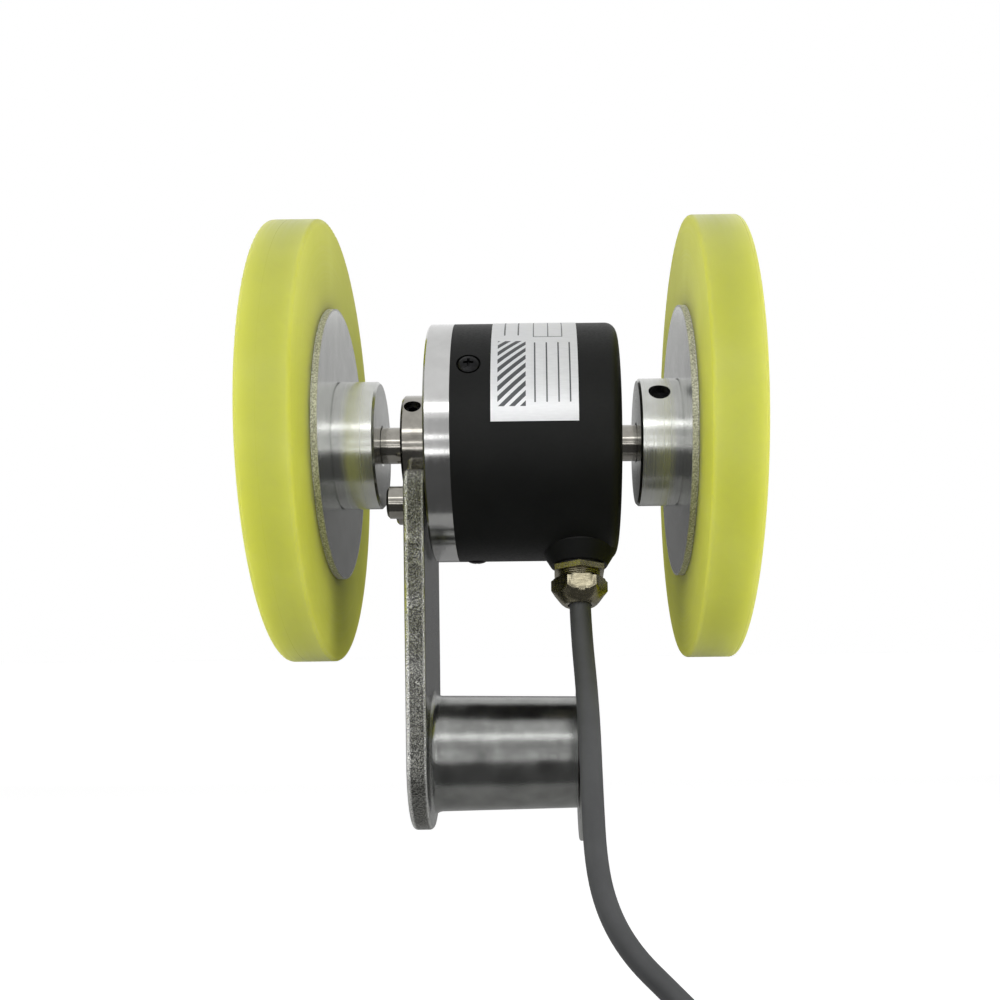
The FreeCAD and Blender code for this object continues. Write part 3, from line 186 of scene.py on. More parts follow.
def makeCastMetal():
    # zinc die casting, tumbled: mottled satin skin, and a gritty glitter on the plate's trimmed edge
    # the plate's edge corners get a painted highlight, near-white lines where the rounded corners catch the
    # light
    material, tree, shader = newMaterial("dieCastZinc", {"Metallic": 0.9})
    place = addNode(tree, "ShaderNodeTexCoord", out="Object")
    skin = addNode(tree, "ShaderNodeTexNoise", {"Vector": place, "Scale": 1 / (5 * mm), "Detail": 4.0})
    grit = addNode(tree, "ShaderNodeTexNoise", {"Vector": place, "Scale": 1 / (0.24 * mm), "Detail": 2.0})
    along = addNode(tree, "ShaderNodeSeparateXYZ", {0: place}, "X")
    normal = addNode(tree, "ShaderNodeNewGeometry", out="True Normal")
    sideways = addNode(tree, "ShaderNodeMath", {
        0: addNode(tree, "ShaderNodeSeparateXYZ", {0: normal}, "X")}, operation="ABSOLUTE")
    onPlate = addNode(tree, "ShaderNodeMapRange", {
        "Value": along, "From Min": castSet["plateRight"] * mm, "From Max": castSet["bossLeft"] * mm,
        "To Min": 1.0, "To Max": 0.0})
    onEdge = addNode(tree, "ShaderNodeMapRange", {
        "Value": sideways, "From Min": 0.75, "From Max": 0.95, "To Min": 1.0, "To Max": 0.0})
    gritty = addNode(tree, "ShaderNodeMath", {0: onPlate, 1: onEdge}, operation="MULTIPLY")
    fromMiddle = addNode(tree, "ShaderNodeMath", {
        0: along, 1: castSet["plateMiddle"] * mm}, operation="SUBTRACT")
    reach = addNode(tree, "ShaderNodeMath", {0: fromMiddle}, operation="ABSOLUTE")
    # painted highlight: mask for the plate's edge corners, a band at a set distance from the plate's middle
    paintedCornerHighlight = addNode(tree, "ShaderNodeMapRange", {
        "Value": reach, "From Min": castSet["highlightFrom"] * mm, "From Max": castSet["highlightTo"] * mm})
    smooth = addNode(tree, "ShaderNodeValToRGB", {"Fac": skin}, stops=[(0.3, "#7d7e7c"), (0.7, "#979896")])
    torn = addNode(tree, "ShaderNodeValToRGB", {"Fac": grit}, stops=[(0.4, "#424240"), (0.66, "#adada7")])
    # painted highlight colour for the edge corners, near white with grit
    bright = addNode(tree, "ShaderNodeValToRGB", {"Fac": grit}, stops=[(0.36, "#a3a39f"), (0.54, "#fbfbf8")])
    edge = addNode(tree, "ShaderNodeMix", {0: paintedCornerHighlight, 6: torn, 7: bright}, 2, data_type="RGBA")
    satin = addNode(tree, "ShaderNodeMapRange", {
        "Value": skin, "From Min": 0.35, "From Max": 0.7, "To Min": 0.08, "To Max": 0.2})
    # the glitter comes and goes along the edge
    comes = addNode(tree, "ShaderNodeMapRange", {
        "Value": skin, "From Min": 0.4, "From Max": 0.6, "To Min": 0.3, "To Max": 0.95})
    depth = addNode(tree, "ShaderNodeMath", {0: gritty, 1: comes, 2: 0.09}, operation="MULTIPLY_ADD")
    setInputs(tree, shader, {
        "Base Color": addNode(tree, "ShaderNodeMix", {0: gritty, 6: smooth, 7: edge}, 2, data_type="RGBA"),
        "Roughness": addNode(tree, "ShaderNodeMath", {
            0: gritty, 1: 0.08, 2: satin}, operation="MULTIPLY_ADD"),
        "Normal": addNode(tree, "ShaderNodeBump", {
            "Height": addNode(tree, "ShaderNodeMath", {0: grit, 1: depth}, operation="MULTIPLY"),
            "Strength": 1.0, "Distance": 0.35 * mm}),
    })
    return material


def makeCoverPaint():
    # aluminium cup, satin black powder coat with a faint orange peel
    material, tree, shader = newMaterial("blackPowderCoat", {"Specular IOR Level": 0.18})
    place = addNode(tree, "ShaderNodeTexCoord", out="Object")
    peel = addNode(tree, "ShaderNodeTexNoise", {"Vector": place, "Scale": 1 / (0.5 * mm), "Detail": 2.0})
    wear = addNode(tree, "ShaderNodeTexNoise", {"Vector": place, "Scale": 1 / (9 * mm), "Detail": 4.0})
    setInputs(tree, shader, {
        "Base Color": addNode(tree, "ShaderNodeValToRGB", {"Fac": wear}, stops=[
            (0.3, "#101111"), (0.7, "#151616")]),
        "Roughness": addNode(tree, "ShaderNodeMapRange", {
            "Value": peel, "From Min": 0.3, "From Max": 0.7, "To Min": 0.46, "To Max": 0.56}),
        "Normal": addNode(tree, "ShaderNodeBump", {"Height": peel, "Strength": 0.12, "Distance": 0.05 * mm}),
    })
    return material


def makePlating(name, color, bright, rough):
    # small metal parts, plated, ground or drawn: faint stains and fine scratches along X
    material, tree, shader = newMaterial(name, {"Metallic": 1.0})
    place = addNode(tree, "ShaderNodeTexCoord", out="Object")
    drawn = addNode(tree, "ShaderNodeVectorMath", {0: place, 1: (0.25, 1, 1)}, operation="MULTIPLY")
    stain = addNode(tree, "ShaderNodeTexNoise", {"Vector": place, "Scale": 1 / (3 * mm), "Detail": 4.0})
    scratch = addNode(tree, "ShaderNodeTexNoise", {"Vector": drawn, "Scale": 1 / (0.3 * mm), "Detail": 3.0})
    setInputs(tree, shader, {
        "Base Color": addNode(tree, "ShaderNodeValToRGB", {"Fac": stain}, stops=[
            (0.35, color), (0.7, bright)]),
        "Roughness": addNode(tree, "ShaderNodeMapRange", {
            "Value": scratch, "From Min": 0.3, "From Max": 0.7,
            "To Min": rough * 0.7, "To Max": rough * 1.5}),
        "Normal": addNode(tree, "ShaderNodeBump", {
            "Height": scratch, "Strength": 0.06, "Distance": 0.01 * mm}),
    })
    return material


def makePlastic(name, dark, light, rough, grain):
    # polymer skins, moulded, extruded or laid on: an even colour with a fine matt grain, given in mm
    material, tree, shader = newMaterial(name, {"IOR": 1.5})
    place = addNode(tree, "ShaderNodeTexCoord", out="Object")
    skin = addNode(tree, "ShaderNodeTexNoise", {"Vector": place, "Scale": 1 / (grain * mm), "Detail": 3.0})
    shade = addNode(tree, "ShaderNodeTexNoise", {"Vector": place, "Scale": 1 / (8 * mm), "Detail": 3.0})
    setInputs(tree, shader, {
        "Base Color": addNode(tree, "ShaderNodeValToRGB", {"Fac": shade}, stops=[(0.3, dark), (0.7, light)]),
        "Roughness": addNode(tree, "ShaderNodeMapRange", {
            "Value": skin, "From Min": 0.3, "From Max": 0.7,
            "To Min": rough - 0.06, "To Max": rough + 0.06}),
        "Normal": addNode(tree, "ShaderNodeBump", {"Height": skin, "Strength": 0.1, "Distance": 0.03 * mm}),
    })
    return material


polyurethane = makePolyurethane()
wheelAluminium = makeTurnedAluminium(  # satin discs and hubs, with a torn rim
    "turnedWheelAluminium", shaftZ, "#bcbdba", "#cacbc8", 0.23, rimAt=29.1 * mm)
flangeAluminium = makeTurnedAluminium(  # faced finer, nearly a mirror
    "turnedFlangeAluminium", shaftZ, "#bbbbba", "#c6c6c5", 0.13)
baseAluminium = makeTurnedAluminium(  # turned coarser, greyer and dull
    "turnedBaseAluminium", 0.0, "#a9aaa8", "#b6b7b5", 0.3)
castZinc = makeCastMetal()
coverPaint = makeCoverPaint()
groundSteel = makePlating("groundSteel", "#8f8c85", "#a09d96", 0.12)  # ground bar: warm grey mirror
nickelBrass = makePlating("nickelPlatedBrass", "#857f6b", "#98927d", 0.24)  # dull plate, brass shows warm
blackSteel = makePlating("blackOxideSteel", "#1c1c1d", "#2a2a2b", 0.42)  # blacked and oiled: dark satin
springSteel = makePlating("drawnSpringSteel", "#6e6e6f", "#8a8a8a", 0.3)  # drawn wire: grey, streaked
tinnedCopper = makePlating("tinnedCopper", "#a8a9aa", "#c4c5c6", 0.25)  # dipped lead ends: soft silver
bronze = makePlating("sinteredBronze", "#8a6a3c", "#a8854f", 0.45)  # pressed powder: brown, matt
cableSheath = makePlastic("greyCableSheath", "#404142", "#4a4b4c", 0.55, 0.25)  # extruded PVC, matt
nitrile = makePlastic("nitrileRubber", "#161616", "#1f1f1f", 0.6, 0.3)  # moulded rings: black, dull
blackNylon = makePlastic("blackNylon", "#141415", "#1d1d1e", 0.42, 0.3)  # moulded: black, a little shine
boardMask = makePlastic("boardSolderMask", "#0c4a25", "#115a2e", 0.35, 0.4)  # green lacquer on laminate
discFilm = makePlastic("codeDiscFilm", "#9a9c9b", "#b4b6b5", 0.2, 0.4)  # polyester film: grey, smooth
print("materials made")


# label: silver film on the cover, from the front up over the top, with a hatched block and ruled lines
labelSet = {
    "left": -20.6, "right": -2.9, "radius": 26.0, "thick": 0.07,  # mm
    "low": 88.7, "high": -14.0,  # degrees from the top towards the front
    "hatch": 1.1, "gap": 0.5,  # half a stripe's pitch and half the gap, in mm along the label's edge
}
labelPrint = [  # left, right, and where each starts and ends along the wrap, from the top, all in mm
    ("hatch", -19.2, -13.5, 20.4, 37.2),
    ("line", -11.8, -11.5, 21.0, 36.4),
    ("line", -9.4, -9.1, 21.0, 36.4),
    ("line", -7.0, -6.7, 21.0, 36.4),
    ("line", -4.7, -4.4, 21.0, 36.4),
    ("line", -18.0, -17.7, 1.0, 18.0),
    ("line", -15.2, -14.9, 1.0, 18.0),
    ("line", -12.0, -11.8, 2.0, 18.8),
    ("line", -9.0, -8.8, 2.0, 18.8),
    ("line", -6.1, -5.9, 2.0, 18.8),
    ("line", -12.0, -5.9, 18.6, 18.8),
]


def makeLabelFilm():
    # silver polyester film, printed grey: faint brushed sheen
    material, tree, shader = newMaterial("printedSilverFilm", {"Metallic": 0.35})
    place = addNode(tree, "ShaderNodeTexCoord", out="Object")
    parts = addNode(tree, "ShaderNodeSeparateXYZ", {0: place}).node.outputs
    across = addNode(tree, "ShaderNodeMath", {0: parts["X"], 1: mm}, operation="DIVIDE")
    upward = addNode(tree, "ShaderNodeMath", {0: parts["Z"], 1: shaftZ}, operation="SUBTRACT")
    forward = addNode(tree, "ShaderNodeMath", {0: parts["Y"], 1: -1.0}, operation="MULTIPLY")
    angle = addNode(tree, "ShaderNodeMath", {0: forward, 1: upward}, operation="ARCTAN2")
    wrap = addNode(tree, "ShaderNodeMath", {0: angle, 1: labelSet["radius"]}, operation="MULTIPLY")
    slant = addNode(tree, "ShaderNodeMath", {0: across, 1: wrap}, operation="ADD")
    hatch = addNode(tree, "ShaderNodeMath", {0: slant, 1: labelSet["hatch"]}, operation="PINGPONG")
    stripes = addNode(tree, "ShaderNodeMath", {0: hatch, 1: labelSet["gap"]}, operation="GREATER_THAN")
    ink = 0.0
    for kind, left, right, start, end in labelPrint:
        inColumn = addNode(tree, "ShaderNodeMath", {
            0: across, 1: (left + right) / 2, 2: (right - left) / 2}, operation="COMPARE")
        inRow = addNode(tree, "ShaderNodeMath", {
            0: wrap, 1: (start + end) / 2, 2: (end - start) / 2}, operation="COMPARE")
        inside = addNode(tree, "ShaderNodeMath", {0: inColumn, 1: inRow}, operation="MULTIPLY")
        if kind == "hatch":
            inside = addNode(tree, "ShaderNodeMath", {0: inside, 1: stripes}, operation="MULTIPLY")
        ink = addNode(tree, "ShaderNodeMath", {0: inside, 1: ink}, operation="MAXIMUM")
    brushed = addNode(tree, "ShaderNodeVectorMath", {0: place, 1: (0.2, 1, 1)}, operation="MULTIPLY")
    sheen = addNode(tree, "ShaderNodeTexNoise", {"Vector": brushed, "Scale": 1 / (0.4 * mm), "Detail": 3.0})
    film = addNode(tree, "ShaderNodeValToRGB", {"Fac": sheen}, stops=[(0.3, "#e8e9ec"), (0.7, "#eff0f3")])
    setInputs(tree, shader, {
        "Base Color": addNode(tree, "ShaderNodeMix", {
            0: ink, 6: film, 7: linear("#55575a")}, 2, data_type="RGBA"),
        "Roughness": addNode(tree, "ShaderNodeMapRange", {
            "Value": sheen, "From Min": 0.3, "From Max": 0.7, "To Min": 0.32, "To Max": 0.44}),
    })
    return material


def makeLabel():
    steps, cells = 64, 6
    shape = bmesh.new()
    sheets = []
    for radius in (labelSet["radius"], labelSet["radius"] + labelSet["thick"]):
        rows = []
        for step in range(steps + 1):
            angle = radians(labelSet["low"] + (labelSet["high"] - labelSet["low"]) * step / steps)
            rows.append([])
            for cell in range(cells + 1):
                x = labelSet["left"] + (labelSet["right"] - labelSet["left"]) * cell / cells
                at = Vector((x, -radius * sin(angle), radius * cos(angle))) * mm + Vector((0, 0, shaftZ))
                rows[-1].append(shape.verts.new(at))
        sheets.append(rows)
        for step in range(steps):
            for cell in range(cells):
                shape.faces.new((rows[step][cell], rows[step][cell + 1],
                                 rows[step + 1][cell + 1], rows[step + 1][cell]))
    rims = []
    for rows in sheets:
        rightEdge = [row[-1] for row in rows[1:]]
        leftEdge = [row[0] for row in rows[-2:0:-1]]
        rims.append(rows[0] + rightEdge + rows[-1][-2::-1] + leftEdge)
    for i in range(len(rims[0])):
        j = (i + 1) % len(rims[0])
        shape.faces.new((rims[0][i], rims[0][j], rims[1][j], rims[1][i]))
    bmesh.ops.recalc_face_normals(shape, faces=shape.faces)
    mesh = bpy.data.meshes.new("coverLabel")
    shape.to_mesh(mesh)
    shape.free()
    mesh.materials.append(makeLabelFilm())
    label = bpy.data.objects.new("coverLabel", mesh)
    bpy.context.collection.objects.link(label)
    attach(label, "arm")


makeLabel()
print("label on")


# Geometry Nodes helpers

def newNodeTree(name, inputs):
    # a tree with named inputs and one geometry output
    tree = bpy.data.node_groups.new(name, "GeometryNodeTree")
    for label, kind in inputs.items():
        tree.interface.new_socket(label, in_out="INPUT", socket_type=kind)
    tree.interface.new_socket("Geometry", in_out="OUTPUT", socket_type="NodeSocketGeometry")
    return tree, addNode(tree, "NodeGroupInput").node.outputs


def closeTree(tree, geometry, material):
    real = addNode(tree, "GeometryNodeRealizeInstances", {0: geometry})
    painted = addNode(tree, "GeometryNodeSetMaterial", {"Geometry": real, "Material": material})
    addNode(tree, "NodeGroupOutput", {0: painted})


def meshFromTree(name, tree, values):
    # runs the tree on an empty mesh and gives back a plain one
    holder = bpy.data.objects.new(name, bpy.data.meshes.new(name))
    bpy.context.collection.objects.link(holder)
    modifier = holder.modifiers.new(name, "NODES")
    modifier.node_group = tree
    for item in tree.interface.items_tree:
        if item.in_out == "INPUT":
            modifier[item.identifier] = values[item.name]
    bpy.context.view_layer.update()
    made = bpy.data.meshes.new_from_object(holder.evaluated_get(bpy.context.evaluated_depsgraph_get()))
    bpy.data.objects.remove(holder)
    made.name = name
    return made


def addPiece(name, mesh, body):
    piece = bpy.data.objects.new(name, mesh)
    bpy.context.collection.objects.link(piece)
    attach(piece, body)
    return piece


def meshFromRings(name, rings, closed):
    # skins rings of points, each as long as the first or a single point, into one solid
    shape = bmesh.new()
    made = [[shape.verts.new(Vector(at) * mm) for at in ring] for ring in rings]
    steps = max(len(ring) for ring in made)
    followers = made[1:] + made[:1] if closed else made[1:]
    for low, high in zip(made, followers):
        for i in range(steps):
            j = (i + 1) % steps
            corners = [low[i % len(low)], low[j % len(low)], high[j % len(high)], high[i % len(high)]]
            shape.faces.new(list(dict.fromkeys(corners)))
    bmesh.ops.recalc_face_normals(shape, faces=shape.faces)
    mesh = bpy.data.meshes.new(name)
    shape.to_mesh(mesh)
    shape.free()
    mesh.shade_smooth()
    mesh.set_sharp_from_angle(angle=radians(28))  # steeper edges stay crisp
    return mesh


# cover screws: pan heads with a cross recess, three round the cover's edge
screwSet = {
    "count": 3, "first": 60.0, "place": (-25.1, 0.0, 68.5), "seat": 25.1, "shank": 1.25, "length": 6.0,
    "head": 2.2, "height": 1.4, "sides": 40,
    "crossLong": 2.5, "crossWide": 0.6, "crossDeep": 0.75, "crossTaper": 0.55,
}


def makeScrew():
    head, tall, shank, end = screwSet["head"], screwSet["height"], screwSet["shank"], -screwSet["length"]
    sides = screwSet["sides"]
    # the head's wall takes up 0.4 of its height, the crown over it the rest
    crown = [(head * cos(a), tall * (0.4 + 0.6 * sin(a))) for a in (radians(15 * i) for i in range(6))]
    rings = [[(0, 0, end)]]
    for radius, height in [(shank, end), (shank, 0), (head, 0)] + crown:
        turns = [tau * i / sides for i in range(sides)]
        rings.append([(radius * cos(turn), radius * sin(turn), height) for turn in turns])
    rings.append([(0, 0, tall)])
    screw = bpy.data.objects.new("coverScrew", meshFromRings("coverScrew", rings, closed=False))
    bpy.context.collection.objects.link(screw)
    cutters = []
    for turn in (0, pi / 2):
        shape = bmesh.new()
        bmesh.ops.create_cube(shape, size=mm)
        for vert in shape.verts:
            narrow = 1.0 if vert.co.z > 0 else screwSet["crossTaper"]
            vert.co.x *= screwSet["crossLong"] * narrow
            vert.co.y *= screwSet["crossWide"] * narrow
            vert.co.z = (tall + 0.2) * mm if vert.co.z > 0 else (tall - screwSet["crossDeep"]) * mm
        bmesh.ops.rotate(shape, verts=shape.verts, cent=(0, 0, 0), matrix=Matrix.Rotation(turn, 3, "Z"))
        cutterMesh = bpy.data.meshes.new("crossCutter")
        shape.to_mesh(cutterMesh)
        shape.free()
        cutter = bpy.data.objects.new("crossCutter", cutterMesh)
        bpy.context.collection.objects.link(cutter)
        cut = screw.modifiers.new("cross", "BOOLEAN")
        cut.operation = "DIFFERENCE"
        cut.object = cutter
        cutters.append(cutter)
    bpy.context.view_layer.update()
    screw.data = bpy.data.meshes.new_from_object(screw.evaluated_get(bpy.context.evaluated_depsgraph_get()))
    screw.modifiers.clear()
    for cutter in cutters:
        bpy.data.objects.remove(cutter)
    return screw


def makeCoverScrews():
    tree, given = newNodeTree("screwRing", {
        "Screw": "NodeSocketObject", "Count": "NodeSocketInt", "Seat radius": "NodeSocketFloat",
        "First angle": "NodeSocketFloat", "Centre": "NodeSocketVector", "Finish": "NodeSocketMaterial"})
    circle = addNode(tree, "GeometryNodeMeshCircle", {
        "Vertices": given["Count"], "Radius": given["Seat radius"]})
    tipped = addNode(tree, "GeometryNodeTransform", {"Geometry": circle, "Rotation": (0, -pi / 2, 0)})
    lean = addNode(tree, "ShaderNodeCombineXYZ", {"X": given["First angle"]})
    ring = addNode(tree, "GeometryNodeTransform", {
        "Geometry": tipped, "Rotation": lean, "Translation": given["Centre"]})
    place = addNode(tree, "GeometryNodeInputPosition")
    outward = addNode(tree, "ShaderNodeVectorMath", {0: place, 1: given["Centre"]}, operation="SUBTRACT")
    facing = addNode(tree, "FunctionNodeAlignRotationToVector", {"Vector": outward}, axis="Z")
    shape = addNode(tree, "GeometryNodeObjectInfo", {"Object": given["Screw"]}, "Geometry")
    screws = addNode(tree, "GeometryNodeInstanceOnPoints", {
        "Points": ring, "Instance": shape, "Rotation": facing})
    closeTree(tree, screws, given["Finish"])
    screw = makeScrew()
    mesh = meshFromTree("coverScrews", tree, {
        "Screw": screw, "Count": screwSet["count"], "Seat radius": screwSet["seat"] * mm,
        "First angle": radians(screwSet["first"]), "Centre": Vector(screwSet["place"]) * mm,
        "Finish": blackSteel})
    bpy.data.objects.remove(screw)
    screws = addPiece("coverScrews", mesh, "arm")
    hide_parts("cover_screws")


makeCoverScrews()
print("cover screws in")


# gland: the thread that shows between hex and nut, and the nut with its corners turned off
glandSet = {
    "x": -2.7, "lean": 165.0, "threadFrom": 30.35, "pitch": 0.45, "count": 3, "neck": 4.3, "ridge": 0.24,
    "flats": 10.6, "turn": 26.0,
    "nutOutline": [  # distance from the shaft axis, and the radius that the hexagon is turned down to
        (31.4, 4.35), (31.4, 4.9), (31.75, 5.6), (32.1, 6.2), (34.2, 6.2), (34.6, 5.8), (35.0, 5.45),
        (35.6, 5.0), (36.15, 4.6), (36.6, 4.25), (37.0, 3.9), (37.4, 3.4), (37.4, 2.6),
        (36.1, 2.6), (36.1, 4.35)],
}


def placeOnGland(mesh):
    lean = Matrix.Rotation(radians(glandSet["lean"]), 4, "X")
    mesh.transform(Matrix.Translation((glandSet["x"] * mm, 0, shaftZ)) @ lean)
    return mesh


def makeGlandThread():
    tree, given = newNodeTree("threadRidges", {
        "Count": "NodeSocketInt", "Pitch": "NodeSocketVector", "Start": "NodeSocketVector",
        "Neck radius": "NodeSocketFloat", "Ridge": "NodeSocketFloat", "Finish": "NodeSocketMaterial"})
    line = addNode(tree, "GeometryNodeMeshLine", {
        "Count": given["Count"], "Start Location": given["Start"], "Offset": given["Pitch"]})
    ring = addNode(tree, "GeometryNodeCurvePrimitiveCircle", {
        "Resolution": 48, "Radius": given["Neck radius"]})
    crest = addNode(tree, "GeometryNodeCurvePrimitiveCircle", {"Resolution": 8, "Radius": given["Ridge"]})
    ridge = addNode(tree, "GeometryNodeCurveToMesh", {"Curve": ring, "Profile Curve": crest})
    ridges = addNode(tree, "GeometryNodeInstanceOnPoints", {"Points": line, "Instance": ridge})
    closeTree(tree, ridges, given["Finish"])
    mesh = meshFromTree("glandThread", tree, {
        "Count": glandSet["count"], "Pitch": Vector((0, 0, glandSet["pitch"])) * mm,
        "Start": Vector((0, 0, glandSet["threadFrom"])) * mm, "Neck radius": glandSet["neck"] * mm,
        "Ridge": glandSet["ridge"] * mm, "Finish": nickelBrass})
    addPiece("glandThread", placeOnGland(mesh), "arm")


def makeGlandNut():
    rings = []
    for height, turned in glandSet["nutOutline"]:
        ring = []
        for degree in range(0, 360, 4):
            fromFlat = (degree - glandSet["turn"] + 30) % 60 - 30
            reach = min(glandSet["flats"] / 2 / cos(radians(fromFlat)), turned)
            ring.append((reach * cos(radians(degree)), reach * sin(radians(degree)), height))
        rings.append(ring)
    mesh = meshFromRings("glandNut", rings, closed=True)
    mesh.materials.append(nickelBrass)
    nut = addPiece("glandNut", placeOnGland(mesh), "arm")
    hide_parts("gland_nut")


makeGlandThread()
makeGlandNut()
print("gland made up")


def makeSpring():
    shape = bmesh.new()
    shape.from_mesh(nodes["torsion_spring"].data)
    bmesh.ops.remove_doubles(shape, verts=shape.verts, dist=0.001 * mm)
    mesh = bpy.data.meshes.new("woundSpring")
    shape.to_mesh(mesh)
    shape.free()
    mesh.materials.append(springSteel)
    spring = bpy.data.objects.new("woundSpring", mesh)
    bpy.context.collection.objects.link(spring)
    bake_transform(spring)
    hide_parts("torsion_spring")


makeSpring()
print("spring wound")


# cable: seen run first, then the coil on the floor and the tail with its leads
cableSet = {
    "radius": 2.3, "coilRadius": 26.4, "coilAt": (53.0, -8.6), "floor": -75.5, "tail": 14.0,
    "bendFrom": (0.0, 0.0, -12.0), "bendTo": (10.0, -34.0, -40.0),  # from its exit, and in the frame
}
cablePoints = [
    (-2.7, -8.0, 38.6),
    (-2.7, -10.6, 28.9),
    (-1.5, -20.6, 11.5),
    (-1.2, -25.8, -6.0),
    (-0.7, -29.1, -19.5),
    (1.6, -31.6, -28.4),
    (6.2, -33.0, -36.0),
    (13.2, -34.0, -42.8),
    (29.0, -34.6, -58.8),
    (40.0, -35.0, -66.0),
]
leadSet = {
    "radius": 0.55, "ring": 1.38, "length": 20.0, "bare": 5.0, "bareShare": 0.65,
    "colors": [  # red, black, green, white, yellow
        ("#852721", "#922e26"), ("#19191a", "#222223"), ("#2b6436", "#34723f"), ("#d2cfc5", "#dedbd1"),
        ("#c29f28", "#cfac31")],
}


def coilPoints():
    # each turn has a lane: its radius step from the middle lane and its layer
    lanes = [(0, 1), (-1, 1), (-1, 0), (0, 0), (1, 0), (2, 0)]
    wide = cableSet["radius"] * 2
    perTurn = 24
    changeAt = 0.66  # the lane changes over the last third of a turn
    turns = len(lanes) - 1
    points = []
    for step in range(perTurn * turns + 1):
        turn = min(step // perTurn, turns - 1)
        part = (step - turn * perTurn) / perTurn
        here = lanes[turn]
        after = lanes[turn + 1]
        ease = max(0.0, (part - changeAt) / (1 - changeAt))
        ease = ease * ease * (3 - 2 * ease)
        radius = cableSet["coilRadius"] + wide * (here[0] + (after[0] - here[0]) * ease)
        height = cableSet["floor"] + wide * (0.5 + here[1] + (after[1] - here[1]) * ease)
        angle = tau * step / perTurn - pi / 2
        points.append((cableSet["coilAt"][0] + radius * cos(angle),
                       cableSet["coilAt"][1] + radius * sin(angle), height))
    return points


def tubeAlong(name, route, radius, smooth):
    # smooth line through the route, given back as its points and a round tube on them
    curve = bpy.data.curves.new(name, "CURVE")
    curve.dimensions = "3D"
    curve.resolution_u = smooth
    curve.bevel_resolution = smooth
    curve.use_fill_caps = True
    spline = curve.splines.new("NURBS")
    spline.points.add(len(route) - 1)
    for point, at in zip(spline.points, route):
        point.co = (*(Vector(at) * mm), 1)
    spline.order_u = 3
    spline.use_endpoint_u = True
    holder = bpy.data.objects.new(name, curve)
    bpy.context.collection.objects.link(holder)
    line = bpy.data.meshes.new_from_object(holder.evaluated_get(bpy.context.evaluated_depsgraph_get()))
    path = [vertex.co.copy() for vertex in line.vertices]
    curve.bevel_depth = radius * mm
    bpy.context.view_layer.update()
    tube = bpy.data.meshes.new_from_object(holder.evaluated_get(bpy.context.evaluated_depsgraph_get()))
    bpy.data.objects.remove(holder)
    tube.shade_smooth()
    return path, tube


def makeLeads():
    # five cores out of the sheath, each stripped and tinned at its tip
    tail = Vector(coilPoints()[-1]) + Vector((cableSet["tail"], 0, 0))
    joined = bmesh.new()
    mesh = bpy.data.meshes.new("cableLeads")
    cores = len(leadSet["colors"])
    for number, (dark, light) in enumerate(leadSet["colors"]):
        turn = tau * number / cores
        out = Vector((0, -sin(turn), cos(turn)))
        sheathEnd = leadSet["length"] - leadSet["bare"]
        # how far along, and how far the core has spread from its ring
        stops = [(-1.0, 1.0), (3.0, 1.0), (9.0, 1.2), (sheathEnd, 1.15)]
        sheath = [tail + Vector((x, 0, 0)) + out * leadSet["ring"] * spread for x, spread in stops]
        tip = [sheath[-1] + Vector((x, 0, 0)) for x in (-0.5, 2.0, leadSet["bare"])]
        mesh.materials.append(makePlastic("leadSheath%d" % (number + 1), dark, light, 0.4, 0.3))
        bareRadius = leadSet["radius"] * leadSet["bareShare"]
        for route, radius, slotIndex in ((sheath, leadSet["radius"], number), (tip, bareRadius, cores)):
            tube = tubeAlong("lead", route, radius, smooth=5)[1]
            for face in tube.polygons:
                face.material_index = slotIndex
            joined.from_mesh(tube)
    mesh.materials.append(tinnedCopper)
    joined.to_mesh(mesh)
    joined.free()
    leads = addPiece("cableLeads", mesh, "base")
    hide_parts("cable_leads")
    return leads


def makeCable(leads):
    tail = coilPoints()[-1]
    ends = [(tail[0] + cableSet["tail"] * share, tail[1], tail[2]) for share in (0.35, 0.7, 1.0)]
    path, tube = tubeAlong("cable", cablePoints + coilPoints() + ends, cableSet["radius"], smooth=6)
    tube.materials.append(cableSheath)
    cable = bpy.data.objects.new("cable", tube)
    bpy.context.collection.objects.link(cable)
    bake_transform(cable)
    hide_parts("cable_tube", "cable_coil", "cable_end")


makeCable(makeLeads())


# what each CAD node is made of
finishes = [
    (polyurethane, ["left_wheel_tyre", "right_wheel_tyre"]),
    (wheelAluminium, ["left_wheel_core", "right_wheel_core", "code_disc_hub"]),
    (flangeAluminium, ["front_flange"]),
    (baseAluminium, ["base_flange"]),
    (castZinc, ["swing_arm"]),
    (coverPaint, ["rear_cover"]),
    (groundSteel, [
        "wheel_shaft", "hollow_shaft", "arm_screws", "pivot_pin", "pivot_washer", "bearing_spacer",
        "board_pillars", "board_screws", "front_bearing_outer_ring", "front_bearing_inner_ring",
        "front_bearing_balls", "rear_bearing_outer_ring", "rear_bearing_inner_ring", "rear_bearing_balls"]),
    (nickelBrass, ["gland_body"]),
    (blackSteel, ["collar_screw", "left_wheel_screw", "right_wheel_screw", "pivot_screw"]),
    (springSteel, ["bearing_retaining_ring"]),
    (bronze, ["pivot_bush_left", "pivot_bush_right"]),
    (nitrile, ["cover_seal", "front_seal", "rear_seal", "gland_washer", "gland_seal"]),
    (blackNylon, ["cable_tie", "fork_sensor"]),
    (boardMask, ["circuit_board"]),
    (discFilm, ["code_disc"]),
]
for material, names in finishes:
    for name in names:
        mesh = nodes[name].data
        mesh.materials.clear()
        mesh.materials.append(material)
print("finishes given")


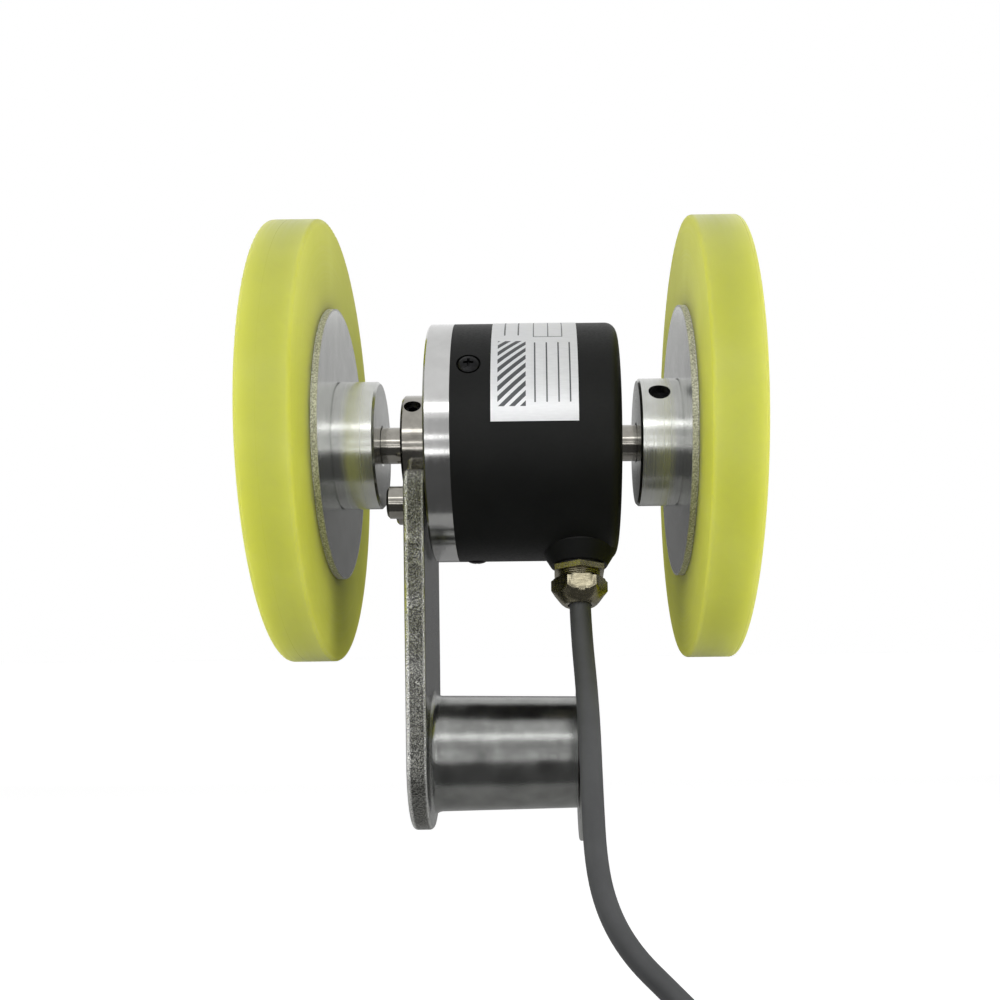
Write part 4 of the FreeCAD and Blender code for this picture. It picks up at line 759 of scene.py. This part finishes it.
# studio: light tent with a soft box on each side, pale floor and a soft fill low in front
# the cards are only mirrored: x range, the y and z of two edges, and how bright against white
stageSet = {
    "sideLight": 0.34, "topLight": 0.37, "floorColor": "#d2d2d2", "floorLift": 0.7,
    "floor": {"x": (-3.0, 3.0), "edges": ((-0.46, -0.076), (3.0, -0.076))},
    "cards": {
        "strip": {"x": (-0.25, 0.25), "edges": ((-0.2213, 0.1544), (-0.2087, 0.1816)), "glow": 4.2},
        "darkMat": {"x": (-0.5, 0.5), "edges": ((-0.46, -0.0757), (-0.05, -0.0757)), "glow": 0.1},
        "lowBack": {"x": (-0.6, 0.6), "edges": ((0.5, -0.075), (0.5, 0.13)), "glow": 0.17},
        "highBack": {"x": (-0.6, 0.6), "edges": ((0.5, 0.13), (0.5, 0.235)), "glow": 0.52},
        "cameraGrey": {"x": (-0.105, 0.045), "edges": ((-0.47, -0.075), (-0.47, 0.2)), "glow": 0.62},
        "upperBarLeft": {"x": (-0.25, -0.065), "edges": ((-0.46, 0.045), (-0.46, 0.072)), "glow": 3.3},
        "lowerBarLeft": {"x": (-0.25, -0.065), "edges": ((-0.46, -0.068), (-0.46, -0.032)), "glow": 3.3},
        "upperBarRight": {"x": (0.03, 0.25), "edges": ((-0.46, 0.064), (-0.46, 0.09)), "glow": 2.6},
        "lowerBarRight": {"x": (0.03, 0.25), "edges": ((-0.46, -0.04), (-0.46, -0.005)), "glow": 4.0},
    },
    "lamps": {
        "lowFill": {"at": (0.0, -0.3, -0.06), "wide": 0.7, "tall": 0.2, "watts": 0.12},
        "leftBox": {"at": (-0.52, -0.25, 0.12), "wide": 0.4, "tall": 0.5, "watts": 1.9},
        "rightBox": {"at": (0.5, -0.25, 0.1), "wide": 0.4, "tall": 0.5, "watts": 2.2},
    },
}


def makeWorld():
    world = bpy.data.worlds.new("studio")
    world.use_nodes = True
    bpy.context.scene.world = world
    tree = world.node_tree
    tree.nodes.clear()
    rays = addNode(tree, "ShaderNodeLightPath").node.outputs
    direct = addNode(tree, "ShaderNodeMath", {
        0: rays["Is Camera Ray"], 1: rays["Is Transmission Ray"]}, operation="MAXIMUM")
    shown = addNode(tree, "ShaderNodeMath", {0: direct, 1: rays["Is Glossy Ray"]}, operation="MAXIMUM")
    white = addNode(tree, "ShaderNodeBackground", {"Color": (1, 1, 1, 1), "Strength": 1.0})
    place = addNode(tree, "ShaderNodeTexCoord", out="Generated")
    level = addNode(tree, "ShaderNodeMapRange", {
        "Value": addNode(tree, "ShaderNodeSeparateXYZ", {0: place}, "Z"),
        "To Min": stageSet["sideLight"], "To Max": stageSet["topLight"]})
    room = addNode(tree, "ShaderNodeBackground", {"Color": (1, 1, 1, 1), "Strength": level})
    addNode(tree, "ShaderNodeOutputWorld", {
        "Surface": addNode(tree, "ShaderNodeMixShader", {0: shown, 1: room, 2: white})})


def addSheet(name, place, material):
    (left, right), ((nearY, nearZ), (farY, farZ)) = place["x"], place["edges"]
    corners = [(left, nearY, nearZ), (right, nearY, nearZ), (right, farY, farZ), (left, farY, farZ)]
    mesh = bpy.data.meshes.new(name)
    mesh.from_pydata(corners, [], [(0, 1, 2, 3)])
    mesh.materials.append(material)
    sheet = bpy.data.objects.new(name, mesh)
    bpy.context.collection.objects.link(sheet)
    return sheet


def makeFloor():
    # pale matt paper, lifted to white for the camera so that only the shadow shows on it
    pale, tree, shader = newMaterial("paleFloor", {
        "Roughness": 0.8, "Base Color": linear(stageSet["floorColor"])})
    rays = addNode(tree, "ShaderNodeLightPath").node.outputs
    direct = addNode(tree, "ShaderNodeMath", {
        0: rays["Is Camera Ray"], 1: rays["Is Transmission Ray"]}, operation="MAXIMUM")
    level = addNode(tree, "ShaderNodeMath", {0: direct, 1: stageSet["floorLift"]}, operation="MULTIPLY")
    lift = addNode(tree, "ShaderNodeEmission", {"Strength": level})
    both = addNode(tree, "ShaderNodeAddShader", {0: shader.outputs[0], 1: lift})
    setInputs(tree, tree.nodes["Material Output"], {"Surface": both})
    addSheet("floor", stageSet["floor"], pale)


def makeCards():
    for name, card in stageSet["cards"].items():
        material = newMaterial(name, {
            "Base Color": (0, 0, 0, 1), "Specular IOR Level": 0.0,
            "Emission Color": (1, 1, 1, 1), "Emission Strength": card["glow"]})[0]
        sheet = addSheet(name, card, material)
        sheet.visible_camera = False
        sheet.visible_diffuse = False
        sheet.visible_shadow = False
        sheet.visible_transmission = False


def makeLamps():
    middle = Vector((0, 0, shaftZ))
    for name, lamp in stageSet["lamps"].items():
        light = bpy.data.lights.new(name, "AREA")
        light.shape = "RECTANGLE"
        light.size, light.size_y = lamp["wide"], lamp["tall"]
        light.energy = lamp["watts"]
        holder = bpy.data.objects.new(name, light)
        bpy.context.collection.objects.link(holder)
        holder.location = lamp["at"]
        holder.rotation_euler = (middle - Vector(lamp["at"])).to_track_quat("-Z", "Y").to_euler()
        holder.visible_camera = False
        holder.visible_glossy = False  # the metal mirrors the tent and the cards instead


makeWorld()
makeFloor()
makeCards()
makeLamps()
bpy.context.scene.view_settings.view_transform = "Standard"
print("stage lit")
